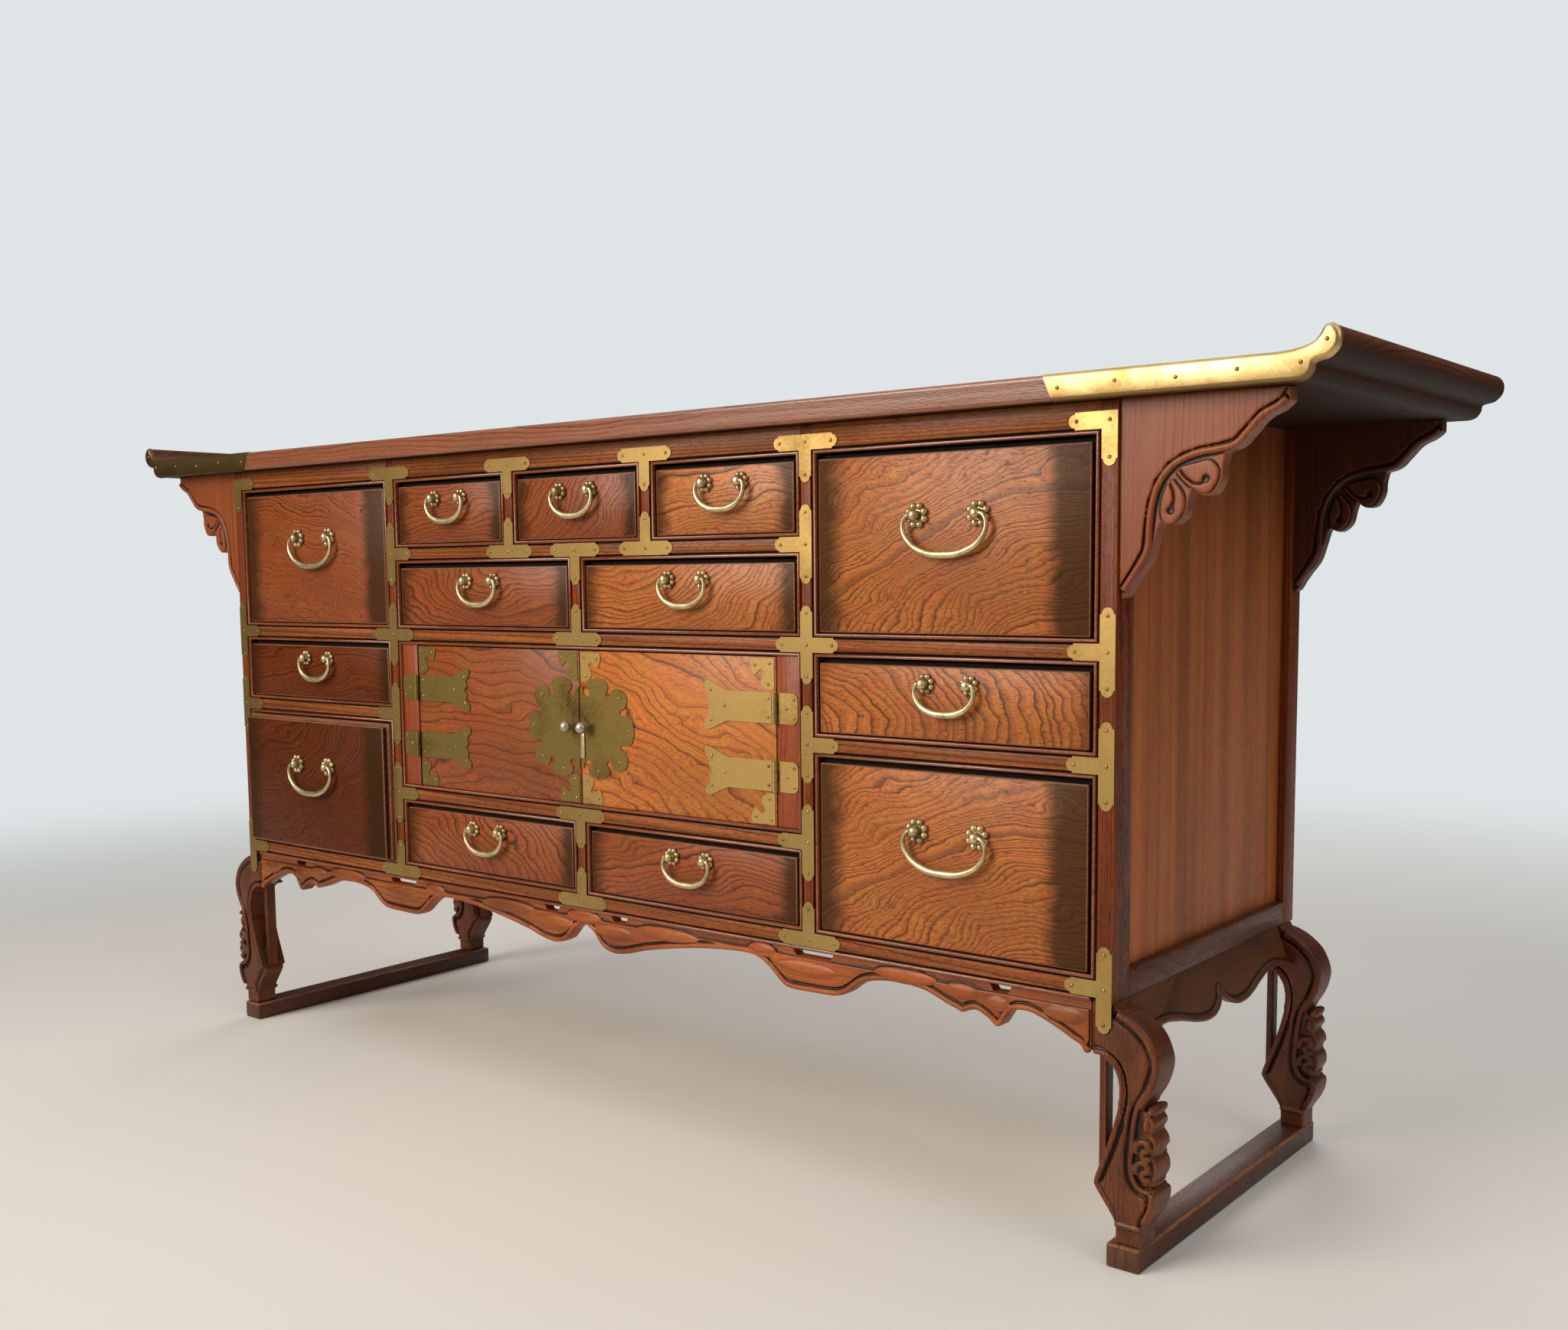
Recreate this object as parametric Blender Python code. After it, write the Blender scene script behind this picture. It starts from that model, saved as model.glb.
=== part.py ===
"""Pagoda sideboard: drawers round a two-door cupboard, scroll-ended top, cabriole legs on runners.

Metres, +Z up, the front faces -Y and +X is the viewer's right. The origin is on the floor, under the
middle of the whole piece's box. Every piece is drawn in world metres and then hung on its own origin.
"""
import math

import bmesh
import bpy
from mathutils import Matrix, Vector

# Clearances
SEAT_GAP = 0.0003           # between two pieces that rest on or against each other
DRAWER_SIDE_GAP = 0.001
DRAWER_TOP_GAP = 0.002
DOOR_GAP = 0.0015           # door to stile, rail and other door
PIN_CLEARANCE = 0.0004      # round every pivot pin

# Case
CASE_WIDTH = 1.423          # over the outer faces of the posts
CASE_DEPTH = 0.458
BOTTOM_RAIL_HEIGHT = 0.271  # floor to the middle of the bottom rail
RAIL_PITCH = 0.107          # from the middle of one rail to the next
RAIL_WIDTH = 0.025          # face of a rail with its two beads
TOP_RAIL_RISE = 0.018       # middle of the top rail to the underside of the top
OUTER_POST_WIDTH = 0.023
INNER_POST_WIDTH = 0.026
INNER_POST_SPACING = 0.700  # between the middles of the inner posts
FRAME_DEPTH = 0.022
POST_DEPTH = 0.036
REAR_POST_DEPTH = 0.030
SIDE_THICKNESS = 0.0215     # from the outer face of a side to its inner face
PANEL_THICKNESS = 0.012
SIDE_RAIL_WIDTH = 0.027
PARTITION_THICKNESS = 0.012
SHELF_THICKNESS = 0.010
BACK_THICKNESS = 0.008
BACK_INSET = 0.004
RUNNER_STRIP_WIDTH = 0.017
GUIDE_WIDTH = 0.012
GUIDE_HEIGHT = 0.010

# Top
TOP_LENGTH = 1.838
TOP_OVERHANG = 0.021        # past the front and past the back
TOP_THICKNESS = 0.025
NOSE_RADIUS = 0.0108
NOSE_RISE = 0.0195          # nose above the flat of the top
NOSE_SWEEP = 0.0475         # length of the hollow that climbs to the nose
STEP_RADIUS = 0.0125        # quarter round under the nose
STEP_SETBACK = 0.011

# Drawers and handles
DRAWER_RECESS = 0.003       # drawer and door faces behind the face of the frame
DRAWER_DEPTH = 0.380
DRAWER_FRONT = 0.016
DRAWER_WALL = 0.009
DRAWER_FLOOR = 0.006
DRAWER_AJAR = 0.0145        # how far the bottom left drawer stands open
LARGE_SPACING = 0.072       # between the two posts of a handle
LARGE_WIDTH = 0.102         # over the outside of the bail
LARGE_DROP = 0.040          # from the pivot to the middle of the bar
LARGE_RISE = 0.026          # pivot above the middle of the drawer
SMALL_SPACING = 0.052
SMALL_WIDTH = 0.074
SMALL_DROP = 0.030
SMALL_RISE = 0.017
BAR_RADIUS = 0.0029         # middle of the bail
PIN_RADIUS = 0.0016         # ends of the bail
HANDLE_POST_RADIUS = 0.0055
HANDLE_POST_REACH = 0.0135
PIVOT_REACH = 0.009         # pivot in front of the drawer face
PIN_DEPTH = 0.0035          # pin inside the post

# Doors and their brass
DOOR_THICKNESS = 0.020
STILE_WIDTH = 0.031         # fixed board between the inner post and the door
HINGE_SPREAD = 0.0375       # middle of each hinge from the middle of the door's height
STRAP_LENGTH = 0.105
STRAP_HEIGHT = 0.034
STRAP_FLARE = 0.055
LEAF_MARGIN = 0.0015        # jamb leaf short of the inner post
LEAF_CORNER = 0.007
PLATE_THICKNESS = 0.0012
KNUCKLE_RADIUS = 0.0034
HINGE_PIN_RADIUS = 0.0015
KNUCKLE_SPACE = 0.0004      # between neighbouring knuckles
KNUCKLE_SETBACK = 0.0040    # edge of a leaf from the hinge line
KNUCKLE_LIFT = 0.0003       # back of a knuckle in front of the back of its leaf
TAB_INSET = 0.0004          # ends of a tab inside the ends of its knuckle
LOCK_HALF_WIDTH = 0.093
LOCK_HEIGHT = 0.122
KNOB_OFFSET = 0.0135
KNOB_RADIUS = 0.0052
KNOB_NECK_RADIUS = 0.0028
KNOB_REACH = 0.009          # middle of the ball in front of the plate

# Legs, runners, aprons and spandrels
FLOOR_RUNNER_WIDTH = 0.035
FLOOR_RUNNER_HEIGHT = 0.024
FLOOR_RUNNER_INSET = 0.004  # inner edge of the runner inside the outer face of the post
LEG_DEPTH = 0.040
LEG_REACH = 0.0475          # bulge of the knee outside the post
STRUT_WIDTH = 0.0075
STRUT_INSET = 0.0185
STRUT_DEPTH = 0.020
APRON_DEPTH = 0.018
APRON_DROP = 0.050
SLIT_DEPTH = 0.008          # openwork between the apron and the bottom rail
SIDE_APRON_DROP = 0.054
SIDE_APRON_THICKNESS = 0.014
SIDE_APRON_SPLAY = 0.36     # sideways lean for each metre of fall
SPANDREL_SETBACK = 0.0502   # from the end of the top to the bracket's tip
SPANDREL_HEIGHT = 0.1825
SPANDREL_THICKNESS = 0.022
SPANDREL_INSET = 0.003

# Places that follow from the sizes
HALF_WIDTH = CASE_WIDTH / 2
INNER_POST_X = INNER_POST_SPACING / 2
FRAME_BOTTOM = BOTTOM_RAIL_HEIGHT - RAIL_WIDTH / 2
TOP_UNDERSIDE = BOTTOM_RAIL_HEIGHT + 5 * RAIL_PITCH + TOP_RAIL_RISE
HANDLE_REACH = max(HANDLE_POST_REACH, PIVOT_REACH + BAR_RADIUS)
FRONT_REACH = max(TOP_OVERHANG, DRAWER_AJAR + HANDLE_REACH - DRAWER_RECESS)
FRONT_Y = (FRONT_REACH - CASE_DEPTH - TOP_OVERHANG) / 2
BACK_Y = FRONT_Y + CASE_DEPTH
FACE_Y = FRONT_Y + DRAWER_RECESS
INSIDE_FRONT_Y = FRONT_Y + FRAME_DEPTH + SEAT_GAP
BACK_PANEL_FRONT_Y = BACK_Y - BACK_INSET - BACK_THICKNESS
INSIDE_BACK_Y = BACK_PANEL_FRONT_Y - SEAT_GAP
SIDE_INNER_X = HALF_WIDTH - SIDE_THICKNESS
LEG_TOP = FRAME_BOTTOM - SEAT_GAP
LEG_FOOT = FLOOR_RUNNER_HEIGHT + SEAT_GAP
SIDES = (("left", -1), ("right", 1))


def rail_z(index):
    """Height of the middle of a rail, counted up from the bottom rail."""
    return BOTTOM_RAIL_HEIGHT + index * RAIL_PITCH


def opening_z(low, high):
    """Lowest and highest level of the opening between two rails."""
    return rail_z(low) + RAIL_WIDTH / 2, rail_z(high) - RAIL_WIDTH / 2


def finish(name, colour, roughness, metallic=0.0):
    material = bpy.data.materials.new(name)
    material.use_nodes = True
    shader = material.node_tree.nodes["Principled BSDF"]
    shader.inputs["Base Color"].default_value = (*colour, 1.0)
    shader.inputs["Roughness"].default_value = roughness
    shader.inputs["Metallic"].default_value = metallic
    return material


def add_object(name, bm, material, origin=(0.0, 0.0, 0.0)):
    """Make a named object of a closed bmesh drawn in world metres."""
    bmesh.ops.remove_doubles(bm, verts=bm.verts, dist=0.00001)
    bmesh.ops.recalc_face_normals(bm, faces=bm.faces)
    bmesh.ops.translate(bm, vec=-Vector(origin), verts=bm.verts)
    mesh = bpy.data.meshes.new(name)
    bm.to_mesh(mesh)
    bm.free()
    mesh.materials.append(material)
    piece = bpy.data.objects.new(name, mesh)
    piece.location = origin
    bpy.context.scene.collection.objects.link(piece)
    return piece


def combine(piece, tool_bm, operation):
    """Fuse a bmesh drawn in world metres into a piece, or cut it out, and keep the result."""
    tool = add_object("tool", tool_bm, piece.data.materials[0])
    modifier = piece.modifiers.new("combine", "BOOLEAN")
    modifier.operation = operation
    modifier.object = tool
    bpy.context.view_layer.update()
    evaluated = piece.evaluated_get(bpy.context.evaluated_depsgraph_get())
    result = bpy.data.meshes.new_from_object(evaluated)
    piece.modifiers.clear()
    piece.data = result
    piece.data.name = piece.name
    bpy.data.objects.remove(tool)


def boxes(*corners):
    """One box for each pair of low and high corners."""
    bm = bmesh.new()
    for low, high in corners:
        low, high = Vector(low), Vector(high)
        place = Matrix.Translation((low + high) / 2) @ Matrix.Diagonal((*(high - low), 1.0))
        bmesh.ops.create_cube(bm, size=1.0, matrix=place)
    return bm


def mirrored_box(side, low, high):
    """Corners of a box given on the right-hand side, moved to the side asked for."""
    if side > 0:
        return low, high
    return (-high[0], low[1], low[2]), (-low[0], high[1], high[2])


def rod(radius, start, end, sides=16):
    """A round rod between two points."""
    bm = bmesh.new()
    start, end = Vector(start), Vector(end)
    along = end - start
    turn = along.to_track_quat("Z", "Y").to_matrix().to_4x4()
    place = Matrix.Translation((start + end) / 2) @ turn
    bmesh.ops.create_cone(bm, cap_ends=True, segments=sides, radius1=radius, radius2=radius,
                          depth=along.length, matrix=place)
    return bm


def slab(outline, near, far):
    """An outline in X and Z made solid between two depths in Y."""
    bm = bmesh.new()
    rims = []
    for y in (near, far):
        rims.append([bm.verts.new((x, y, z)) for x, z in outline])
    bm.faces.new(rims[0])
    bm.faces.new(rims[1])
    for index in range(len(outline)):
        after = (index + 1) % len(outline)
        bm.faces.new((rims[0][index], rims[0][after], rims[1][after], rims[1][index]))
    return bm


def smooth(points, steps=3):
    """A curve through the points, with the first and last point kept."""
    padded = [points[0], *points, points[-1]]
    curve = []
    for before, start, end, after in zip(padded, padded[1:], padded[2:], padded[3:]):
        for step in range(steps):
            t = step / steps
            curve.append(tuple(
                0.5 * (2 * b + (c - a) * t + (2 * a - 5 * b + 4 * c - d) * t ** 2
                       + (3 * b - a - 3 * c + d) * t ** 3)
                for a, b, c, d in zip(before, start, end, after)))
    return curve + [tuple(points[-1])]


def arc(centre, radius, start, end, steps):
    """Points on an arc, angles in degrees."""
    angles = [math.radians(start + (end - start) * step / steps) for step in range(steps + 1)]
    return [(centre[0] + radius * math.cos(a), centre[1] + radius * math.sin(a)) for a in angles]


def drawer_layout():
    """Name, opening in X, opening in Z, and the handle's sizes, for each drawer."""
    large = (LARGE_SPACING, LARGE_WIDTH, LARGE_DROP, LARGE_RISE)
    small = (SMALL_SPACING, SMALL_WIDTH, SMALL_DROP, SMALL_RISE)
    inner = INNER_POST_X + INNER_POST_WIDTH / 2
    outer = HALF_WIDTH - OUTER_POST_WIDTH
    drawers = []
    for name, side in SIDES:
        span = (inner, outer) if side > 0 else (-outer, -inner)
        drawers.append((f"{name}_top_drawer", span, opening_z(3, 5), large))
        drawers.append((f"{name}_middle_drawer", span, opening_z(2, 3), small))
        drawers.append((f"{name}_bottom_drawer", span, opening_z(0, 2), large))
    rows = (("centre_small", ("left", "middle", "right"), (4, 5)),
            ("centre_upper", ("left", "right"), (3, 4)),
            ("centre_lower", ("left", "right"), (0, 1)))
    for row, places, rails in rows:
        bay = INNER_POST_SPACING / len(places)
        for index, place in enumerate(places):
            low = -INNER_POST_X + index * bay + INNER_POST_WIDTH / 2
            high = low + bay - INNER_POST_WIDTH
            drawers.append((f"{row}_{place}_drawer", (low, high), opening_z(*rails), small))
    return drawers


def drawer_shift(name):
    """How far towards the viewer a drawer stands at rest."""
    return DRAWER_AJAR if name == "left_bottom_drawer" else 0.0


def handle_pivot(name, span, levels, rise):
    """Middle of a handle's pivot line."""
    return Vector(((span[0] + span[1]) / 2, FACE_Y - drawer_shift(name) - PIVOT_REACH,
                   (levels[0] + levels[1]) / 2 + rise))


def make_front_frame(material):
    """Posts, rails, dividers and the two fixed door stiles, jointed into one frame."""
    top = TOP_UNDERSIDE - SEAT_GAP
    frame = add_object("front_frame", boxes(
        ((-HALF_WIDTH, FRONT_Y, FRAME_BOTTOM), (HALF_WIDTH, FRONT_Y + FRAME_DEPTH, top))), material)
    post_inner = HALF_WIDTH - OUTER_POST_WIDTH
    combine(frame, boxes(*(mirrored_box(
        side, (post_inner, FRONT_Y, FRAME_BOTTOM), (HALF_WIDTH, FRONT_Y + POST_DEPTH, top))
        for _, side in SIDES)), "UNION")
    door_half = INNER_POST_X - INNER_POST_WIDTH / 2
    openings = [(span, levels) for _, span, levels, _ in drawer_layout()]
    openings.append(((-door_half, door_half), opening_z(1, 3)))
    combine(frame, boxes(*(
        ((span[0], FRONT_Y - FRAME_DEPTH, levels[0]), (span[1], FRONT_Y + 2 * FRAME_DEPTH, levels[1]))
        for span, levels in openings)), "DIFFERENCE")
    low, high = opening_z(1, 3)
    into_post = INNER_POST_WIDTH / 4
    combine(frame, boxes(*(mirrored_box(
        side, (door_half - STILE_WIDTH, FACE_Y, low - into_post),
        (door_half + into_post, FRONT_Y + FRAME_DEPTH, high + into_post))
        for _, side in SIDES)), "UNION")
    return frame


def make_side(name, side, material):
    """Recessed panel, rear post, rails, drawer runners and the splayed apron of one side."""
    top = TOP_UNDERSIDE - SEAT_GAP
    front = FRONT_Y + POST_DEPTH + SEAT_GAP
    rear_post = BACK_Y - REAR_POST_DEPTH
    piece = add_object(f"{name}_side", boxes(mirrored_box(
        side, (SIDE_INNER_X, front, FRAME_BOTTOM), (SIDE_INNER_X + PANEL_THICKNESS, BACK_Y, top))),
        material)
    combine(piece, boxes(mirrored_box(
        side, (SIDE_INNER_X, rear_post, FRAME_BOTTOM), (HALF_WIDTH, BACK_Y, top))), "UNION")
    combine(piece, boxes(mirrored_box(
        side, (SIDE_INNER_X, front, FRAME_BOTTOM),
        (HALF_WIDTH, BACK_Y, FRAME_BOTTOM + SIDE_RAIL_WIDTH))), "UNION")
    strip_back = INSIDE_BACK_Y - REAR_POST_DEPTH
    for rail in (2, 3):
        level = rail_z(rail) + RAIL_WIDTH / 2
        combine(piece, boxes(mirrored_box(
            side, (SIDE_INNER_X - RUNNER_STRIP_WIDTH, front, level - SHELF_THICKNESS),
            (SIDE_INNER_X + PANEL_THICKNESS / 2, strip_back, level))), "UNION")
    combine(piece, side_apron(side), "UNION")
    return piece


def side_apron(side):
    """Scalloped board between the legs, leaning out as it falls."""
    half = CASE_DEPTH / 2 - LEG_DEPTH - SEAT_GAP
    middle = (FRONT_Y + BACK_Y) / 2
    lobe = smooth([(0.0, 0.62), (0.042, 0.80), (0.13, 0.96), (0.24, 1.0), (0.37, 0.94), (0.53, 0.80),
                   (0.69, 0.70), (0.85, 0.72), (1.0, 0.84)])
    edge = [(share * half, drop) for share, drop in lobe]
    contour = [(-y, drop) for y, drop in reversed(edge[1:])] + edge
    overlap = SIDE_RAIL_WIDTH / 8
    ends = [(contour[-1][0], 0.0), (contour[0][0], 0.0)]
    outer_x = HALF_WIDTH
    inner_x = HALF_WIDTH - SIDE_APRON_THICKNESS
    bm = bmesh.new()
    rims = []
    for x in (inner_x, outer_x):
        rim = []
        for y, share in contour + ends:
            fall = share * SIDE_APRON_DROP - (overlap if share == 0.0 else 0.0)
            lean = max(fall, 0.0) * SIDE_APRON_SPLAY
            rim.append(bm.verts.new((side * (x + lean), middle + y, FRAME_BOTTOM - fall)))
        rims.append(rim)
    bm.faces.new(rims[0])
    bm.faces.new(rims[1])
    for index in range(len(rims[0])):
        after = (index + 1) % len(rims[0])
        bm.faces.new((rims[0][index], rims[0][after], rims[1][after], rims[1][index]))
    return bm


def make_inside(material):
    """Bottom, partitions with their drawer runners, shelf, cupboard ceiling and floor, back."""
    bottom_top = rail_z(0) + RAIL_WIDTH / 2
    side_face = SIDE_INNER_X - SEAT_GAP
    bottom = add_object("bottom_board", boxes(
        ((-side_face, INSIDE_FRONT_Y, bottom_top - SHELF_THICKNESS), (side_face, INSIDE_BACK_Y, bottom_top))),
        material)
    post_clearance = HALF_WIDTH - OUTER_POST_WIDTH - SEAT_GAP
    combine(bottom, boxes(*(mirrored_box(
        side, (post_clearance, FRONT_Y, bottom_top - 2 * SHELF_THICKNESS),
        (HALF_WIDTH, FRONT_Y + POST_DEPTH + SEAT_GAP, bottom_top + SHELF_THICKNESS))
        for _, side in SIDES)), "DIFFERENCE")
    half = PARTITION_THICKNESS / 2
    for name, side in SIDES:
        partition = add_object(f"{name}_partition", boxes(mirrored_box(
            side, (INNER_POST_X - half, INSIDE_FRONT_Y, bottom_top + SEAT_GAP),
            (INNER_POST_X + half, INSIDE_BACK_Y, TOP_UNDERSIDE - SEAT_GAP))), material)
        for rail in (2, 3):
            level = rail_z(rail) + RAIL_WIDTH / 2
            combine(partition, boxes(mirrored_box(
                side, (INNER_POST_X, INSIDE_FRONT_Y, level - SHELF_THICKNESS),
                (INNER_POST_X + half + RUNNER_STRIP_WIDTH, INSIDE_BACK_Y, level))), "UNION")
    width = INNER_POST_X - half - SEAT_GAP
    shelves = (("small_drawer_shelf", 4, 3), ("cupboard_ceiling", 3, 2), ("cupboard_floor", 1, 1))
    for name, rail, bays in shelves:
        level = rail_z(rail) + RAIL_WIDTH / 2
        shelf = add_object(name, boxes(
            ((-width, INSIDE_FRONT_Y, level - SHELF_THICKNESS), (width, INSIDE_BACK_Y, level))), material)
        add_guides(shelf, bays, level)
    add_guides(bottom, 2, bottom_top)
    back_half = SIDE_INNER_X - SEAT_GAP
    add_object("back_panel", boxes(
        ((-back_half, BACK_PANEL_FRONT_Y, FRAME_BOTTOM),
         (back_half, BACK_Y - BACK_INSET, TOP_UNDERSIDE - SEAT_GAP))), material)


def add_guides(shelf, bays, level):
    """Strips that part neighbouring drawers, behind the dividers of the frame."""
    bay = INNER_POST_SPACING / bays
    for index in range(1, bays):
        x = -INNER_POST_X + index * bay
        combine(shelf, boxes(
            ((x - GUIDE_WIDTH / 2, INSIDE_FRONT_Y, level - SHELF_THICKNESS / 2),
             (x + GUIDE_WIDTH / 2, INSIDE_BACK_Y, level + GUIDE_HEIGHT))), "UNION")


def make_top(material):
    """Slab whose ends rise in a hollow to a round nose over a stepped edge."""
    nose = (TOP_LENGTH / 2 - NOSE_RADIUS, TOP_THICKNESS + NOSE_RISE - NOSE_RADIUS)
    step_x = nose[0] - STEP_SETBACK
    profile = arc((step_x - STEP_RADIUS, STEP_RADIUS), STEP_RADIUS, -90, 0, 5)
    profile += arc(nose, NOSE_RADIUS, -125, 130, 14)
    rise_start = profile[-1]
    foot = (nose[0] - NOSE_SWEEP, TOP_THICKNESS)
    slope = math.tan(math.radians(130 - 90))
    bend = (rise_start[0] - (rise_start[1] - TOP_THICKNESS) / slope, TOP_THICKNESS)
    for step in range(1, 7):
        t = step / 6
        profile.append(tuple((1 - t) ** 2 * a + 2 * t * (1 - t) * b + t ** 2 * c
                             for a, b, c in zip(rise_start, bend, foot)))
    outline = profile + [(-x, z) for x, z in reversed(profile)]
    return add_object("top_board", slab(
        [(x, TOP_UNDERSIDE + z) for x, z in outline], FRONT_Y - TOP_OVERHANG, BACK_Y + TOP_OVERHANG),
        material)


def make_spandrel(name, side, near, material):
    """Carved bracket in the angle of a post and the overhanging top."""
    rim_top = smooth([(1.0, -0.066), (0.962, -0.096), (0.866, -0.137), (0.771, -0.214), (0.707, -0.268),
                      (0.637, -0.288)])
    upper_leaf = smooth([(0.637, -0.288), (0.621, -0.348), (0.615, -0.416), (0.570, -0.485),
                         (0.497, -0.493), (0.439, -0.455)])
    lower_leaf = smooth([(0.439, -0.455), (0.417, -0.515), (0.395, -0.589), (0.325, -0.636),
                         (0.258, -0.614), (0.236, -0.641)])
    rim_foot = smooth([(0.236, -0.641), (0.207, -0.726), (0.166, -0.822), (0.086, -0.907),
                       (0.038, -0.981), (0.0, -1.0)])
    shares = [(0.0, 0.0), (1.0, 0.0)] + rim_top + upper_leaf[1:] + lower_leaf[1:] + rim_foot[1:]
    root = HALF_WIDTH + SEAT_GAP
    width = TOP_LENGTH / 2 - SPANDREL_SETBACK - root
    top = TOP_UNDERSIDE - SEAT_GAP
    outline = [(side * (root + x * width), top + z * SPANDREL_HEIGHT) for x, z in shares]
    return add_object(name, slab(outline, near, near + SPANDREL_THICKNESS), material)


def make_leg(name, side, near, material):
    """Cabriole board with a leafy outer edge, a pointed inner spur and a thin straight strut."""
    height = LEG_TOP - LEG_FOOT
    knee = smooth([(0.03, 0.983), (0.18, 0.972), (0.49, 0.940), (0.82, 0.878), (1.0, 0.789),
                   (0.97, 0.721), (0.86, 0.661), (0.72, 0.612), (0.66, 0.580)])
    leaves = smooth([(0.66, 0.580), (0.84, 0.550), (0.90, 0.520), (0.81, 0.490), (0.90, 0.468),
                     (0.95, 0.432), (0.84, 0.398), (0.93, 0.374), (0.97, 0.330), (0.88, 0.290),
                     (0.79, 0.266)], steps=2)
    foot = smooth([(0.79, 0.266), (0.93, 0.240), (0.94, 0.200), (0.86, 0.149), (0.74, 0.105), (0.65, 0.075)])
    ankle = [(0.65, 0.0), (0.075, 0.0)]
    spur = smooth([(0.075, 0.080), (-0.05, 0.1215), (-0.24, 0.173), (-0.38, 0.213), (-0.43, 0.2324)])
    inside = smooth([(-0.43, 0.2324), (-0.35, 0.273), (-0.23, 0.337), (-0.105, 0.405), (0.01, 0.478),
                     (0.095, 0.542), (0.158, 0.606), (0.168, 0.661), (0.115, 0.712), (-0.01, 0.753),
                     (-0.18, 0.776)], steps=2)
    shares = knee + leaves[1:] + foot[1:] + ankle + spur + inside[1:]
    outline = [(HALF_WIDTH + x * LEG_REACH, LEG_FOOT + z * height) for x, z in shares]
    inner_x = HALF_WIDTH - OUTER_POST_WIDTH
    outline += [(inner_x, LEG_FOOT + 0.789 * height), (inner_x, LEG_TOP), (HALF_WIDTH, LEG_TOP)]
    leg = add_object(name, slab([(side * x, z) for x, z in outline], near, near + LEG_DEPTH), material)
    strut_x = HALF_WIDTH - STRUT_INSET
    strut_y = near + (LEG_DEPTH - STRUT_DEPTH) / 2
    combine(leg, boxes(mirrored_box(
        side, (strut_x, strut_y, LEG_FOOT + 0.262 * height),
        (strut_x + STRUT_WIDTH, strut_y + STRUT_DEPTH, LEG_FOOT + 0.83 * height))), "UNION")
    return leg


def make_front_apron(material):
    """Scalloped board under the bottom rail, with slits of openwork along its upper edge."""
    half = HALF_WIDTH - OUTER_POST_WIDTH - SEAT_GAP
    long_lobes = smooth([(0.0, 0.30), (0.025, 0.50), (0.044, 0.79), (0.073, 0.92), (0.109, 0.86),
                         (0.145, 0.72), (0.211, 0.54), (0.283, 0.39), (0.349, 0.31), (0.392, 0.32),
                         (0.4215, 0.49), (0.443, 0.74), (0.465, 0.91), (0.509, 0.92), (0.56, 0.89),
                         (0.585, 0.74), (0.610, 0.49), (0.647, 0.37), (0.687, 0.35), (0.727, 0.41),
                         (0.763, 0.59), (0.792, 0.71)], steps=2)
    end_lobe = smooth([(0.792, 0.71), (0.814, 0.61), (0.836, 0.74), (0.847, 0.86), (0.8575, 0.82),
                       (0.872, 0.52), (0.894, 0.44), (0.916, 0.49), (0.952, 0.69), (0.988, 0.94),
                       (1.0, 0.985)], steps=2)
    contour = long_lobes + end_lobe[1:]
    slits = ((0.065, 0.105), (0.472, 0.552), (0.836, 0.872))
    taper = 0.006
    upper = []
    for start, end in slits:
        upper += [(start, 0.0), (start + taper, SLIT_DEPTH), (end - taper, SLIT_DEPTH), (end, 0.0)]
    upper.append((1.0, 0.0))
    right = [(x * half, -drop) for x, drop in upper]
    right += [(x * half, -drop * APRON_DROP) for x, drop in reversed(contour)]
    outline = right + [(-x, z) for x, z in reversed(right[:-1])]
    return add_object("front_apron", slab(
        [(x, LEG_TOP + z) for x, z in outline], FRONT_Y, FRONT_Y + APRON_DEPTH), material)


def make_drawer(name, span, levels, handle, material):
    """Open box with a thicker front and the two posts that carry its bail."""
    spacing, _, _, rise = handle
    shift = drawer_shift(name)
    front = FACE_Y - shift
    low = (span[0] + DRAWER_SIDE_GAP, front, levels[0] + SEAT_GAP)
    high = (span[1] - DRAWER_SIDE_GAP, front + DRAWER_DEPTH, levels[1] - DRAWER_TOP_GAP)
    pivot = handle_pivot(name, span, levels, rise)
    drawer = add_object(name, boxes((low, high)), material, (pivot.x, front, low[2]))
    combine(drawer, boxes((
        (low[0] + DRAWER_WALL, low[1] + DRAWER_FRONT, low[2] + DRAWER_FLOOR),
        (high[0] - DRAWER_WALL, high[1] - DRAWER_WALL, high[2] + DRAWER_WALL))), "DIFFERENCE")
    hole = PIN_RADIUS + PIN_CLEARANCE
    for end in (-1, 1):
        x = pivot.x + end * spacing / 2
        combine(drawer, rod(HANDLE_POST_RADIUS, (x, front - HANDLE_POST_REACH, pivot.z),
                            (x, front + DRAWER_FRONT / 2, pivot.z), 14), "UNION")
        bottom = x + end * (HANDLE_POST_RADIUS - PIN_DEPTH - SEAT_GAP)
        combine(drawer, rod(hole, (bottom, pivot.y, pivot.z),
                            (x + end * 2 * HANDLE_POST_RADIUS, pivot.y, pivot.z), 10), "DIFFERENCE")
    return drawer


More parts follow.
